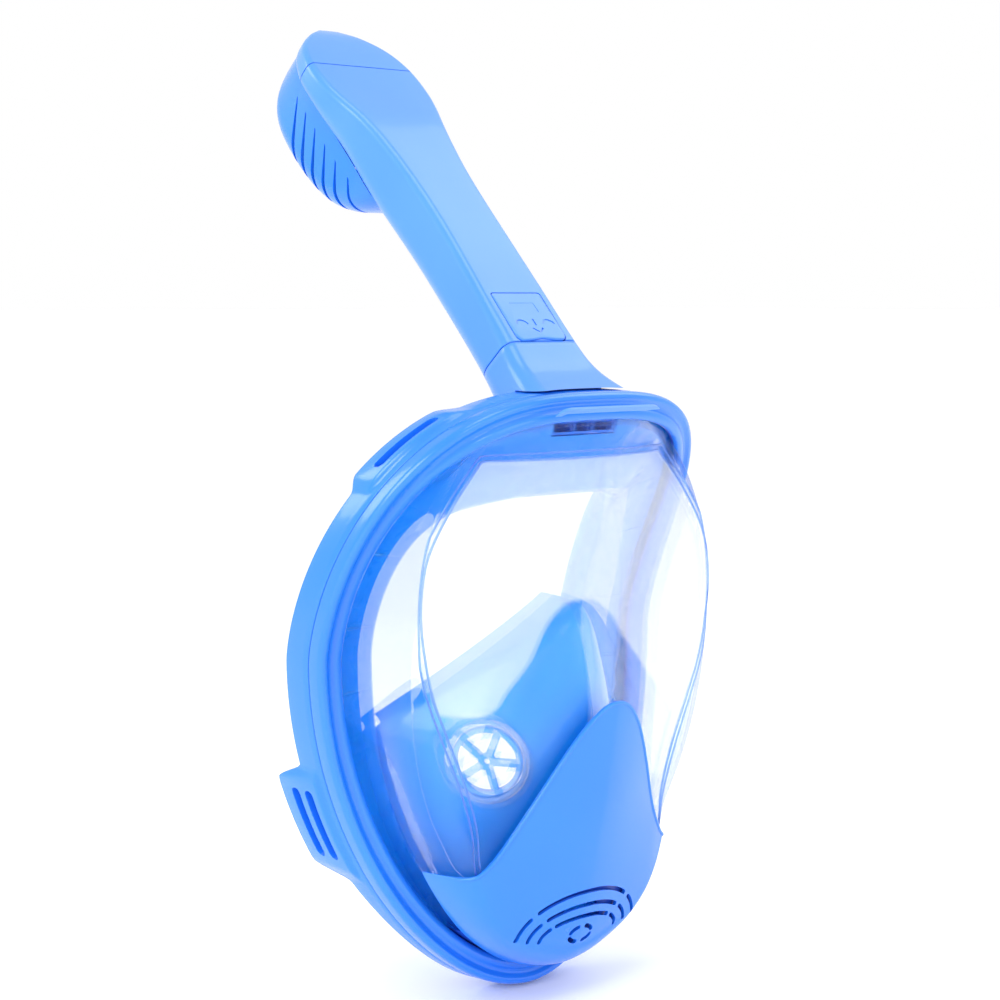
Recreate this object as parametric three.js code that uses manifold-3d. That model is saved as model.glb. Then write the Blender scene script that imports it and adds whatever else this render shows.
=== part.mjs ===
// Full-face snorkel mask. Millimetres, +Z up, the wearer looks along -Y.
// Origin: centre of the face opening, in the plane of the seal at the temples.
// "left" and "right" are as seen from the front, so left is at negative X.

import * as THREE from "three";
import Module from "manifold-3d";
import { mergeVertices } from "three/addons/utils/BufferGeometryUtils.js";

const wasm = await Module();
wasm.setup();

// ---------------------------------------------------------------- driving dimensions
const gap = 0.3; // free space between neighbours that touch on the real object

// Rim: the ridge line that runs round the front of the bezel.
const rimHalfWidth = 90;
const crownRise = 104.5; // from the widest line up to the ridge at the forehead
const chinDrop = 139; // from the widest line down to the ridge at the chin
const widestHeight = 20; // height of the widest line above the origin
const crownPower = 3;
const chinPower = 1.93;
const rimBack = -28; // Y of the ridge at the widest line
const crownForward = 61; // how far the crown leans forward of that
const chinForward = 22.6;

// Rim stack, front to back.
const bezelLip = 8.8; // from the ridge inwards to the bezel's inner edge
const bezelCap = 3.4; // thickness of the bezel in front of the gasket
const bezelLeg = 4.9; // length of the leg that surrounds the window's flange
const bezelOut = 2.5; // from the ridge outwards to the bezel's outer face
const gasketThick = 1;
const lensThick = 2.2;
const skirtThick = 2;
const frameFlange = 2.2;
const frameWall = 3;
const flangeOuter = 5; // inset of the outer edge of gasket, window and skirt
const wallDepth = 22.5; // how far the frame's side wall reaches behind the ridge
const chinWallDepth = 15;

// Window.
const foldY = -74; // plane of the fold between front panel and side walls
const panelTop = 101; // height of the straight upper edge of the panel
const domeCentreHeight = 10;
const topBulge = 11;
const frontBulge = 25;

// Face opening in the skirt, as an inset from the rim.
const openingInsetSide = 32;
const openingInsetCrown = 40;
const openingInsetChin = 19;
const sealDepthSide = 30; // rear lip of the skirt behind the ridge
const sealDepthCrown = 38;
const webDropSide = 1.4; // how far the web falls back towards the opening
const webDropCrown = 14;
const webDropChin = 4;

// Nose and mouth pocket.
const pocketThick = 1.8;
const pocketPeak = 41; // height of the nose peak
const pocketShoulder = -8; // height where its upper edge meets the skirt
const pocketForward = 24;
const pocketPeakY = -81;
const intakeRadius = 14.6;
const intakeAcross = 0.48; // place of each valve on the pocket: share of half-width
const intakeDown = 0.47; // and share of height
const flapTravel = 2; // how far a valve flap lifts off its seat
const flapThick = 0.8;

// Chin.
const coverThick = 1.7;
const coverPeak = 4.7; // top of the cover's wave-shaped lip
const coverShoulder = -63; // height of the lip at the sides
const coverWave = 56; // half-width over which the lip falls
const drainRadius = 12;
const drainHeight = -91;
const ventHeight = -94;
const ventSlot = 2;

// Strap ears.
const slotWidth = 5;
const slotBar = 3.6; // material between the two slots of a lower ear
const lowerEarDepth = 42;
const upperEarDepth = 27;
const screwInset = 2.6;
const screwRadius = 1.1;
const screwHead = 1.9;

// Snorkel.
const snorkelTilt = 42; // degrees, leaning back over the head
const footRise = 12.6; // from the crown ridge up to the seam of base and tube
const footBack = 42.9;
const tubeFront = 14; // from the tube's axis to its front face
const tubeWall = 2;
const tubeLength = 166; // seam of the base to seam of the top cap
const capHeight = 31;
const spigotLength = 22;
const floatRadius = 8.8;
const floatHeight = 15;
const floatTravel = 8; // from its rest up to the seat it closes
const latchWidth = 27;
const latchHeight = 26;
const latchThick = 2;

// Mesh density.
const ringSteps = 44;
const tubeSteps = 4; // points per corner of the tube's section

// ---------------------------------------------------------------- materials
const blue = { color: 0x2f86f5, roughness: 0.28, metalness: 0 };
const materials = {
  shell: new THREE.MeshStandardMaterial({ ...blue }),
  tube: new THREE.MeshStandardMaterial({ ...blue, color: 0x4a9dfa }),
  silicone: new THREE.MeshStandardMaterial({ ...blue, color: 0x1467ee, roughness: 0.35 }),
  gasket: new THREE.MeshStandardMaterial({ ...blue, color: 0x0a45c8, roughness: 0.5 }),
  clear: new THREE.MeshStandardMaterial({
    color: 0xdcebff, roughness: 0.03, metalness: 0, transparent: true, opacity: 0.3,
  }),
  seat: new THREE.MeshStandardMaterial({ ...blue, color: 0x8cc2ff }),
  steel: new THREE.MeshStandardMaterial({ color: 0xb9bec4, roughness: 0.3, metalness: 1 }),
  foam: new THREE.MeshStandardMaterial({ color: 0xf2f4f7, roughness: 0.6, metalness: 0 }),
};

// ---------------------------------------------------------------- numbers and curves
const mix = (a, b, t) => a + (b - a) * t;
const clamp = (v, low, high) => Math.min(high, Math.max(low, v));
const radians = (degrees) => (degrees * Math.PI) / 180;
const range = (count) => Array.from({ length: count }, (_, i) => i);

function smoothStep(from, to, value) {
  const t = clamp((value - from) / (to - from), 0, 1);
  return t * t * (3 - 2 * t);
}

// Smooth curve value = f(key) through a few [key, value] knots in rising key order.
function knotCurve(knots) {
  const slope = (i) => {
    const a = knots[Math.max(i - 1, 0)];
    const b = knots[Math.min(i + 1, knots.length - 1)];
    return (b[1] - a[1]) / (b[0] - a[0]);
  };
  return (key) => {
    const k = clamp(key, knots[0][0], knots[knots.length - 1][0]);
    let i = 0;
    while (i < knots.length - 2 && k > knots[i + 1][0]) i += 1;
    const [k0, v0] = knots[i];
    const [k1, v1] = knots[i + 1];
    const h = k1 - k0;
    const t = (k - k0) / h;
    const rise = t * t * (3 - 2 * t);
    const lead = t * (1 - t) * (1 - t) * h * slope(i);
    const trail = t * t * (1 - t) * h * slope(i + 1);
    return v0 + (v1 - v0) * rise + lead - trail;
  };
}

// ---------------------------------------------------------------- rim
// Point at an angle round the rim (0 at the crown, turning towards +X), moved inwards
// by inset and back by depth.
function rimPoint(angle, inset = 0, depth = 0) {
  const s = Math.sin(angle);
  const c = Math.cos(angle);
  const power = c >= 0 ? crownPower : chinPower;
  const height = c >= 0 ? crownRise : chinDrop;
  const reach = (Math.abs(s) / rimHalfWidth) ** power + (Math.abs(c) / height) ** power;
  const radius = reach ** (-1 / power);
  const x = radius * s;
  const z = radius * c;
  const nx = (Math.sign(x) * Math.abs(x / rimHalfWidth) ** (power - 1)) / rimHalfWidth;
  const nz = (Math.sign(z) * Math.abs(z / height) ** (power - 1)) / height;
  const n = Math.hypot(nx, nz);
  const lean = z > 0 ? crownForward * (z / crownRise) ** 1.5 : chinForward * (z / chinDrop) ** 2;
  return [x - (nx / n) * inset, rimBack - lean + depth, widestHeight + z - (nz / n) * inset];
}

const ringAngles = range(ringSteps).map((i) => (i / ringSteps) * Math.PI * 2);

// ---------------------------------------------------------------- solids from points
function geometryFrom(points, indices) {
  const geometry = new THREE.BufferGeometry();
  geometry.setAttribute("position", new THREE.Float32BufferAttribute(points.flat(), 3));
  let volume = 0;
  for (let i = 0; i < indices.length; i += 3) {
    const [a, b, c] = [0, 1, 2].map((k) => new THREE.Vector3(...points[indices[i + k]]));
    volume += a.dot(b.cross(c));
  }
  geometry.setIndex(volume < 0 ? indices.toReversed() : indices);
  return geometry;
}

function stitch(indices, a, b, size, wrap) {
  for (let j = 0; j < (wrap ? size : size - 1); j += 1) {
    const k = (j + 1) % size;
    indices.push(a + j, b + j, b + k, a + j, b + k, a + k);
  }
}

// Closed sections joined into a ring.
function ringLoft(sections) {
  const size = sections[0].length;
  const indices = [];
  sections.forEach((_, i) => stitch(indices, i * size, ((i + 1) % sections.length) * size, size, true));
  return geometryFrom(sections.flat(), indices);
}

// Closed loops joined in a row, with a point closing each end.
function poleLoft(first, loops, last) {
  const size = loops[0].length;
  const indices = [];
  for (let i = 0; i < loops.length - 1; i += 1) stitch(indices, i * size, (i + 1) * size, size, true);
  const points = loops.flat();
  const end = (loops.length - 1) * size;
  const top = points.push(first) - 1;
  const bottom = points.push(last) - 1;
  for (let j = 0; j < size; j += 1) {
    const k = (j + 1) % size;
    indices.push(top, j, k, bottom, end + k, end + j);
  }
  return geometryFrom(points, indices);
}

const centreOf = (loop) => [0, 1, 2].map((i) => loop.reduce((sum, p) => sum + p[i], 0) / loop.length);
const cappedLoft = (loops) => poleLoft(centreOf(loops[0]), loops, centreOf(loops[loops.length - 1]));

// Thin sections (one side out, the other side back) joined into a strip with two end faces.
function stripLoft(sections) {
  const size = sections[0].length;
  const indices = [];
  const points = sections.flat();
  for (let i = 0; i < sections.length - 1; i += 1) stitch(indices, i * size, (i + 1) * size, size, true);
  const end = (sections.length - 1) * size;
  for (let j = 0; j < size / 2 - 1; j += 1) {
    const [a, b, c, d] = [j, j + 1, size - 2 - j, size - 1 - j];
    indices.push(a, b, c, a, c, d, end + c, end + b, end + a, end + d, end + c, end + a);
  }
  return geometryFrom(points, indices);
}

// Grid of points moved along the surface's own normal; columns may wrap round.
function offsetGrid(grid, distance, wrap) {
  const rows = grid.length;
  const cols = grid[0].length;
  return grid.map((row, i) => row.map((point, j) => {
    const up = grid[Math.max(i - 1, 0)][j];
    const down = grid[Math.min(i + 1, rows - 1)][j];
    const left = row[wrap ? (j + cols - 1) % cols : Math.max(j - 1, 0)];
    const right = row[wrap ? (j + 1) % cols : Math.min(j + 1, cols - 1)];
    const along = new THREE.Vector3(...down).sub(new THREE.Vector3(...up));
    const across = new THREE.Vector3(...right).sub(new THREE.Vector3(...left));
    const normal = along.cross(across).normalize().multiplyScalar(distance);
    return [point[0] + normal.x, point[1] + normal.y, point[2] + normal.z];
  }));
}

// ---------------------------------------------------------------- joining and cutting
function manifoldOf(geometry) {
  const bare = geometry.clone();
  bare.deleteAttribute("normal");
  bare.deleteAttribute("uv");
  const merged = mergeVertices(bare, 1e-4);
  const vertProperties = new Float32Array(merged.attributes.position.array);
  const triVerts = new Uint32Array(merged.index.array);
  return new wasm.Manifold(new wasm.Mesh({ numProp: 3, vertProperties, triVerts }));
}

function geometryOf(manifold) {
  const mesh = manifold.getMesh();
  const geometry = new THREE.BufferGeometry();
  geometry.setAttribute("position", new THREE.BufferAttribute(mesh.vertProperties, 3));
  geometry.setIndex(new THREE.BufferAttribute(mesh.triVerts, 1));
  return geometry;
}

const cut = (body, ...tools) => geometryOf(
  tools.reduce((rest, tool) => rest.subtract(manifoldOf(tool)), manifoldOf(body)),
);
const join = (body, ...others) => geometryOf(
  others.reduce((sum, other) => sum.add(manifoldOf(other)), manifoldOf(body)),
);
const common = (body, other) => geometryOf(manifoldOf(body).intersect(manifoldOf(other)));

// ---------------------------------------------------------------- plain shapes
// Cylinder whose axis runs along a direction, starting at a point.
function rod(start, direction, radius, length, sides = 20) {
  const shape = new THREE.CylinderGeometry(radius, radius, length, sides);
  const axis = new THREE.Vector3(...direction).normalize();
  shape.translate(0, length / 2, 0);
  shape.applyQuaternion(new THREE.Quaternion().setFromUnitVectors(new THREE.Vector3(0, 1, 0), axis));
  return shape.translate(...start);
}

function block(low, high) {
  const size = low.map((v, i) => high[i] - v);
  const centre = low.map((v, i) => (v + high[i]) / 2);
  return new THREE.BoxGeometry(...size).translate(...centre);
}

// Ring of revolution round local Z: outer and inner radius, from z0 to z1.
function washer(inner, outer, z0, z1, sides = 20) {
  const profile = [[inner, z0], [outer, z0], [outer, z1], [inner, z1], [inner, z0]];
  const lathe = new THREE.LatheGeometry(profile.map((p) => new THREE.Vector2(...p)), sides);
  return lathe.rotateX(Math.PI / 2);
}

// ---------------------------------------------------------------- assembly
const group = new THREE.Group();
const snorkel = new THREE.Group();
const crown = rimPoint(0);
snorkel.position.set(0, crown[1] + footBack, crown[2] + footRise);
snorkel.rotation.x = -radians(snorkelTilt);
group.add(snorkel);

function addPart(name, geometry, material, parent = group) {
  geometry.computeVertexNormals();
  const mesh = new THREE.Mesh(geometry, material);
  mesh.name = name;
  parent.add(mesh);
  return mesh;
}

// Ring whose section is a list of [inset, depth] pairs, the same at every angle unless
// the list comes from a function of the angle.
const rimRing = (profile) => ringLoft(ringAngles.map((angle) => {
  const pairs = typeof profile === "function" ? profile(angle) : profile;
  return pairs.map(([inset, depth]) => rimPoint(angle, inset, depth));
}));

// ---------------------------------------------------------------- rim stack
const gasketFront = bezelCap + gap;
const lensFront = gasketFront + gasketThick + gap;
const lensBack = lensFront + lensThick;
const skirtFront = lensBack + gap;
const skirtBack = skirtFront + skirtThick;
const frameFront = skirtBack + gap;
const frameBack = frameFront + frameFlange;
const bezelBack = bezelCap + bezelLeg;
const wallInset = -bezelOut - 0.7; // the side wall flares a little towards the back

function wallDepthAt(angle) {
  const low = clamp(-Math.cos(angle), 0, 1);
  return mix(wallDepth, chinWallDepth, smoothStep(0.75, 0.98, low));
}

// Air port in the crown wall, measured from the crown of the ridge.
const port = { halfWidth: 17, front: 16.5, back: 21.3, wall: 1, low: 14.5 };

function frontBezel() {
  const profile = [
    [-bezelOut, bezelBack], [-bezelOut, 2.2], [-1.4, 0.4], [0.2, 0], [2.4, 1.5], [3.8, 1.5],
    [5.4, 0.3], [7.2, 0.3], [bezelLip, 1.6], [bezelLip, bezelCap],
    [flangeOuter - gap, bezelCap], [flangeOuter - gap, bezelBack],
  ];
  return rimRing(profile);
}

function lensGasket() {
  const front = gasketFront;
  const back = gasketFront + gasketThick;
  const outer = flangeOuter + 2 * gap;
  const inner = bezelLip - gap;
  return rimRing([[outer, front], [inner, front], [inner, back], [outer, back]]);
}

// A piece of wall that follows the rim between two angles.
function rimStrip(from, to, steps, insets, depths) {
  const loops = range(steps + 1).map((i) => {
    const angle = mix(from, to, i / steps);
    const [front, back] = depths;
    return [
      rimPoint(angle, insets[0], front), rimPoint(angle, insets[1], front),
      rimPoint(angle, insets[1], back), rimPoint(angle, insets[0], back),
    ];
  });
  return cappedLoft(loops);
}

const lowerEar = { from: radians(117), to: radians(143), depth: lowerEarDepth };
const upperEar = { from: radians(27), to: radians(50), depth: upperEarDepth };
const earOut = wallInset - 1.6; // ears stand a little proud of the wall
const earFront = 13;
const barProud = 0.6;
const slotEnd = radians(5); // solid ear left beyond each end of a slot
const lowerSlots = [17, 17 + slotWidth + slotBar];
const upperSlot = 16;

const bothSides = (make) => [1, -1].flatMap((side) => make(side));

// Chord of the ear's outer face across a slot: its middle, its direction and its normal.
function slotChord(side, ear, depth) {
  const margin = slotEnd - radians(1);
  const top = new THREE.Vector3(...rimPoint(side * (ear.from + margin), earOut, depth));
  const bottom = new THREE.Vector3(...rimPoint(side * (ear.to - margin), earOut, depth));
  const middle = top.clone().add(bottom).multiplyScalar(0.5);
  middle.y = rimPoint((side * (ear.from + ear.to)) / 2, earOut, depth)[1];
  const run = top.sub(bottom).setY(0);
  const length = run.length();
  const up = run.normalize();
  const normal = new THREE.Vector3(side * up.z, 0, -side * up.x);
  return { middle, up, normal, length };
}

// Flat bar behind a slot, for the strap to wrap round. Its outer face stands a little proud.
function strapBar(side, ear, front) {
  const { middle, up, normal, length } = slotChord(side, ear, front + slotBar / 2);
  const bar = new THREE.BoxGeometry(frameWall, slotBar, length);
  const ahead = new THREE.Vector3().crossVectors(up, normal);
  bar.applyMatrix4(new THREE.Matrix4().makeBasis(normal, ahead, up));
  const centre = middle.addScaledVector(normal, barProud - frameWall / 2);
  return bar.translate(...centre);
}

function screwSpots() {
  return bothSides((side) => [60, 100, 155].map((angle) => side * radians(angle)));
}

// Hole for a screw, with a flat seat cut for its head.
function screwHole(angle) {
  const shank = rod(rimPoint(angle, screwInset, bezelCap + 1.6), [0, 1, 0], screwRadius + gap, 9, 8);
  const seat = rod(rimPoint(angle, screwInset, frameBack), [0, 1, 0], screwHead + gap, 5, 8);
  return join(shank, seat);
}

function rearFrame() {
  const wall = rimRing((angle) => {
    const depth = wallDepthAt(angle);
    const back = wallInset + frameWall;
    return [
      [-bezelOut, bezelBack + gap], [wallInset, depth], [back, depth], [0.4, frameBack],
      [bezelLip, frameBack], [bezelLip, frameFront], [flangeOuter - gap, frameFront],
      [flangeOuter - gap, bezelBack + gap],
    ];
  });
  const earInsets = [earOut, earOut + frameWall];
  const ears = bothSides((side) => [lowerEar, upperEar].map((ear) => (
    rimStrip(side * ear.from, side * ear.to, 4, earInsets, [earFront, ear.depth])
  )));
  const through = [earOut - 2, earOut + frameWall + 5];
  const openings = [
    [lowerEar, lowerSlots[0], lowerSlots[1] + slotWidth], [upperEar, upperSlot, upperEar.depth + 1],
  ];
  const slots = bothSides((side) => openings.map(([ear, front, back]) => rimStrip(
    side * (ear.from + slotEnd), side * (ear.to - slotEnd), 2, through, [front, back],
  )));
  const bars = bothSides((side) => [
    strapBar(side, lowerEar, lowerSlots[0] + slotWidth),
    strapBar(side, upperEar, upperSlot + slotWidth),
  ]);
  const portHole = block(
    [-port.halfWidth - gap, crown[1] + port.front - gap, crown[2] - 4],
    [port.halfWidth + gap, crown[1] + port.back + gap, crown[2] + 12],
  );
  const cutters = [...slots, portHole, ...screwSpots().map(screwHole)];
  return join(cut(join(wall, ...ears), ...cutters), ...bars);
}

// ---------------------------------------------------------------- skirt
// Value that changes smoothly from crown to sides to chin.
function aroundRim(angle, atCrown, atSide, atChin) {
  const c = Math.cos(angle);
  return mix(atSide, c > 0 ? atCrown : atChin, c * c);
}

const openingInset = (angle) => aroundRim(angle, openingInsetCrown, openingInsetSide, openingInsetChin);

function faceSkirt() {
  const skirt = rimRing((angle) => {
    const edge = openingInset(angle);
    const drop = aroundRim(angle, webDropCrown, webDropSide, webDropChin);
    const lip = aroundRim(angle, sealDepthCrown, sealDepthSide, sealDepthSide);
    const t = skirtThick;
    const front = skirtFront + drop;
    return [
      [flangeOuter, skirtFront], [bezelLip + 1, skirtFront], [edge - 3, front], [edge, front + 2.5],
      [edge, lip - 6], [edge - 6, lip], [9, lip - 3.5],
      [9, lip - 3.5 - t], [edge - 6.6, lip - t], [edge - t, lip - 7],
      [edge - t, front + 3.2], [edge - 3.6, front + t], [bezelLip + 1, skirtBack], [flangeOuter, skirtBack],
    ];
  });
  const window = block(
    [-port.halfWidth - gap, crown[1] + skirtFront - 3, crown[2] - port.low - gap],
    [port.halfWidth + gap, crown[1] + port.back + gap, crown[2] - bezelLip - 0.2],
  );
  return cut(skirt, window);
}

// ---------------------------------------------------------------- window
const foldHalfWidth = knotCurve([
  [-99, 0.5], [-97, 12], [-90, 30], [-77, 43], [-60, 50], [-43, 52], [-25, 58], [-5, 67],
  [11, 74], [27, 78], [46, 80], [65, 76.5], [83, 65], [101, 49],
]);
const bulgeAt = knotCurve([
  [-99, 0], [-94, 2.5], [-77, 7.5], [-58, 12], [-36, 17], [-11, 21.5], [4, 24], [30, frontBulge],
  [60, 21], [80, 16], [101, topBulge],
]);
const ridgePower = (z) => mix(1.5, 1.9, smoothStep(0, 60, z));

// The curves of window, cover and pocket are drawn for this rim and stretch with it.
const drawn = { halfWidth: 90, top: 124.5, bottom: 119 };
const scaleX = rimHalfWidth / drawn.halfWidth;
const scaleUp = (crownRise + widestHeight) / drawn.top;
const scaleDown = (chinDrop - widestHeight) / drawn.bottom;
const toModel = (z) => (z >= 0 ? z * scaleUp : z * scaleDown);
const fromModel = (z) => (z >= 0 ? z / scaleUp : z / scaleDown);

function frontY(x, z) {
  const zn = fromModel(z);
  const share = Math.min(Math.abs(x / scaleX) / foldHalfWidth(zn), 1);
  return foldY - bulgeAt(zn) * (1 - share ** ridgePower(zn));
}

// Distance from the dome's centre to the fold, in a direction given by its angle.
function foldRadius(angle) {
  const inside = (r) => {
    const z = fromModel(domeCentreHeight + r * Math.cos(angle));
    const x = Math.abs(r * Math.sin(angle)) / scaleX;
    return z < panelTop && z > -99 && x < foldHalfWidth(z);
  };
  let low = 0;
  let high = 160 * Math.max(scaleX, scaleUp, scaleDown);
  for (let i = 0; i < 30; i += 1) {
    const middle = (low + high) / 2;
    if (inside(middle)) low = middle;
    else high = middle;
  }
  return low;
}

const dome = { inset: bezelLip + 0.5, wallRows: 4, frontRows: 4 };

// Rows of the window's outer face, from the flange at the rim to the middle of the front.
function domeRows() {
  const rows = range(dome.wallRows + dome.frontRows).map(() => []);
  ringAngles.forEach((angle) => {
    const seat = rimPoint(angle, dome.inset, lensFront);
    const bearing = Math.atan2(seat[0], seat[2] - domeCentreHeight);
    const radius = foldRadius(bearing);
    const foldX = radius * Math.sin(bearing);
    const foldZ = domeCentreHeight + radius * Math.cos(bearing);
    const fold = [foldX, frontY(foldX, foldZ), foldZ];
    const softness = smoothStep(-55, 10, fromModel(foldZ));
    const power = mix(2.1, 6, softness);
    for (let k = 0; k < dome.wallRows; k += 1) {
      const turn = (k / dome.wallRows) * (Math.PI / 2);
      const inward = 1 - Math.cos(turn) ** (2 / power);
      const forward = fold[1] < seat[1] ? Math.sin(turn) ** (2 / power) : inward;
      rows[k].push([mix(seat[0], foldX, inward), mix(seat[1], fold[1], forward), mix(seat[2], foldZ, inward)]);
    }
    for (let k = 0; k < dome.frontRows; k += 1) {
      const t = k / dome.frontRows;
      const x = foldX * (1 - t);
      const z = mix(foldZ, domeCentreHeight, t);
      rows[dome.wallRows + k].push([x, frontY(x, z), z]);
    }
  });
  return rows;
}

const outerDome = domeRows();
const domeTip = [0, frontY(0, domeCentreHeight), domeCentreHeight];

function domeShell(outerOffset, innerOffset, base) {
  const outer = offsetGrid(outerDome, outerOffset, true);
  const inner = offsetGrid(outerDome, innerOffset, true);
  const outerTip = [0, domeTip[1] - outerOffset, domeTip[2]];
  const innerTip = [0, domeTip[1] - innerOffset, domeTip[2]];
  return poleLoft(outerTip, [...outer.toReversed(), ...base, ...inner], innerTip);
}

const drainAxis = [0, -0.87, -0.5];
const drainLow = 28; // the duct starts this far behind the window

function drainCentre() {
  const z = toModel(drainHeight);
  return [0, frontY(0, z), z];
}

function along(point, axis, distance) {
  return point.map((v, i) => v + axis[i] * distance);
}

function windowLens() {
  const flange = (inset, depth) => ringAngles.map((angle) => rimPoint(angle, inset, depth));
  const base = [
    flange(flangeOuter, lensFront), flange(flangeOuter, lensBack), flange(dome.inset + lensThick, lensBack),
  ];
  const shell = domeShell(0, -lensThick, base);
  const hole = rod(along(drainCentre(), drainAxis, -drainLow), drainAxis, drainRadius + gap, drainLow + 12, 24);
  return cut(shell, hole);
}

// ---------------------------------------------------------------- chin cover
// Height of the cover's upper lip: a wave that peaks in the middle.
function lipHeight(x) {
  const t = clamp(Math.abs(x) / (coverWave * scaleX), 0, 1);
  const wave = (0.5 * (1 + Math.cos(Math.PI * t))) ** 0.9;
  return toModel(mix(coverShoulder, coverPeak, wave));
}

function coverOutline() {
  const span = 80 * scaleX;
  const lip = range(21).map((i) => {
    const x = mix(-span, span, i / 20);
    return new THREE.Vector2(x, lipHeight(x));
  });
  const floor = rimPoint(Math.PI)[2] - 30;
  return new THREE.Shape([...lip, new THREE.Vector2(span, floor), new THREE.Vector2(-span, floor)]);
}

function extrudeForward(shape, fromY, toY, curveSegments = 6) {
  const depth = fromY - toY;
  const solid = new THREE.ExtrudeGeometry(shape, { depth, bevelEnabled: false, curveSegments });
  return solid.rotateX(Math.PI / 2).translate(0, fromY, 0);
}

// Curved slot in the front view: part of an ellipse round the vent centre.
function ventTool(rx, rz, from, to) {
  const centreZ = toModel(ventHeight);
  const arc = (grow, a) => new THREE.Vector2(
    (rx + grow) * Math.cos(radians(a)), centreZ + (rz + grow) * Math.sin(radians(a)),
  );
  const steps = Math.abs(to - from) > 60 ? 4 : 1;
  const outer = range(steps + 1).map((i) => arc(ventSlot / 2, mix(from, to, i / steps)));
  const inner = range(steps + 1).map((i) => arc(-ventSlot / 2, mix(to, from, i / steps)));
  return extrudeForward(new THREE.Shape([...outer, ...inner]), -20, foldY - 60);
}

const ventArcs = [
  { rx: 33, rz: 19, spans: [[8, 34], [44, 136], [146, 172]] },
  { rx: 27, rz: 13, spans: [[5, 35], [46, 134], [145, 175]] },
  { rx: 21, rz: 8, spans: [[0, 36], [48, 132], [144, 180]] },
  { rx: 6, rz: 3.4, spans: [[20, 70], [110, 160], [200, 250], [290, 340]] },
];

function chinCover() {
  const foot = 2; // rows of the dome's wall that stay uncovered next to the rim
  const near = gap + 0.55;
  const far = near + coverThick;
  const inner = offsetGrid(outerDome, near, true).slice(foot);
  const outer = offsetGrid(outerDome, far, true).slice(foot);
  const tip = (offset) => [0, domeTip[1] - offset, domeTip[2]];
  const shell = poleLoft(tip(far), [...outer.toReversed(), ...inner], tip(near));
  const vents = ventArcs.flatMap((arc) => arc.spans.map(([from, to]) => ventTool(arc.rx, arc.rz, from, to)));
  return cut(common(shell, extrudeForward(coverOutline(), 0, foldY - 80)), ...vents);
}

// ---------------------------------------------------------------- nose and mouth pocket
const pocketSide = radians(113); // rim angle where the pocket's upper edge meets the skirt

// Lower edge of the pocket, just inside the skirt's opening; across runs from -1 to 1.
function pocketFoot(across) {
  const angle = Math.PI - across * (Math.PI - pocketSide);
  const front = skirtFront + aroundRim(angle, webDropCrown, webDropSide, webDropChin);
  return rimPoint(angle, openingInset(angle) + gap + 0.2, front + 4);
}

// Ridge of the pocket: from the nose peak down to the cheeks.
function pocketRidge(across) {
  const end = pocketFoot(Math.sign(across) || 1);
  const share = Math.abs(across);
  return [
    Math.abs(end[0]) * across,
    mix(pocketPeakY, end[1] - 4, share ** 1.3),
    mix(toModel(pocketPeak), toModel(pocketShoulder), share ** 1.1),
  ];
}

// Point of the pocket's front face; down runs from 0 at the ridge to 1 at the foot.
function pocketPoint(across, down) {
  const ridge = pocketRidge(across);
  const foot = pocketFoot(across);
  const bulge = pocketForward * (1 - across * across) * Math.sin(Math.PI * clamp(down, 0, 1)) ** 0.9;
  const point = ridge.map((v, i) => mix(v, foot[i], down));
  return [point[0], point[1] - bulge, point[2]];
}

// Roof behind the ridge: back reaches from 0 at the ridge to 1 at its rear edge.
function pocketRoof(across, back) {
  const [x, y, z] = pocketRidge(across);
  const length = 22 * (1 - Math.abs(across)) + 4;
  return [x, y + length * back, z + 3 * Math.sin(back * Math.PI * 0.5)];
}

function pocketNormal(across, down) {
  const step = 0.02;
  const at = (a, d) => new THREE.Vector3(...pocketPoint(a, d));
  const side = at(across + step, down).sub(at(across - step, down));
  const fall = at(across, down + step).sub(at(across, down - step));
  return fall.cross(side).normalize().toArray();
}

const intakeSide = { left: -1, right: 1 };
const intakeCentre = (side) => pocketPoint(side * intakeAcross, intakeDown);
const intakeNormal = (side) => pocketNormal(side * intakeAcross, intakeDown);

function nosePocket() {
  const columns = range(17).map((i) => mix(-1, 1, i / 16));
  const roof = [1, 0.4].map((back) => columns.map((across) => pocketRoof(across, back)));
  const front = range(8).map((k) => columns.map((across) => pocketPoint(across, 0.015 + 0.985 * (k / 7))));
  const outer = [...roof, ...front];
  const inner = offsetGrid(outer, -pocketThick, false);
  const sections = columns.map((_, j) => [
    ...outer.map((row) => row[j]), ...inner.toReversed().map((row) => row[j]),
  ]);
  const valveHoles = Object.values(intakeSide).map((side) => rod(
    along(intakeCentre(side), intakeNormal(side), -9), intakeNormal(side), intakeRadius + gap, 18, 24,
  ));
  const drain = rod(along(drainCentre(), drainAxis, -drainLow - 8), drainAxis, drainRadius + gap, 30, 24);
  return cut(stripLoft(sections), ...valveHoles, drain);
}

// ---------------------------------------------------------------- valves
// Wheel-shaped seat round local Z: a rim, spokes and a hub with a hole.
function spokedSeat(outer, rimWidth, spokes, low, high) {
  const ring = washer(outer - rimWidth, outer, low, high);
  const arms = range(spokes).map((i) => block([2, -1.3, -1], [outer - rimWidth + 0.5, 1.3, 1])
    .rotateZ((i / spokes) * Math.PI * 2 + Math.PI / 2));
  const hub = washer(1.3, 3.4, -1, 1, 10);
  return join(ring, ...arms, hub);
}

function placeAlong(mesh, point, axis) {
  mesh.position.set(...point);
  mesh.quaternion.setFromUnitVectors(new THREE.Vector3(0, 0, 1), new THREE.Vector3(...axis));
  return mesh;
}

const flapDisc = (radius) => {
  const profile = [[0, 0], [radius, 0], [radius, flapThick], [0, flapThick]];
  return new THREE.LatheGeometry(profile.map((p) => new THREE.Vector2(...p)), 20).rotateX(Math.PI / 2);
};

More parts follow.
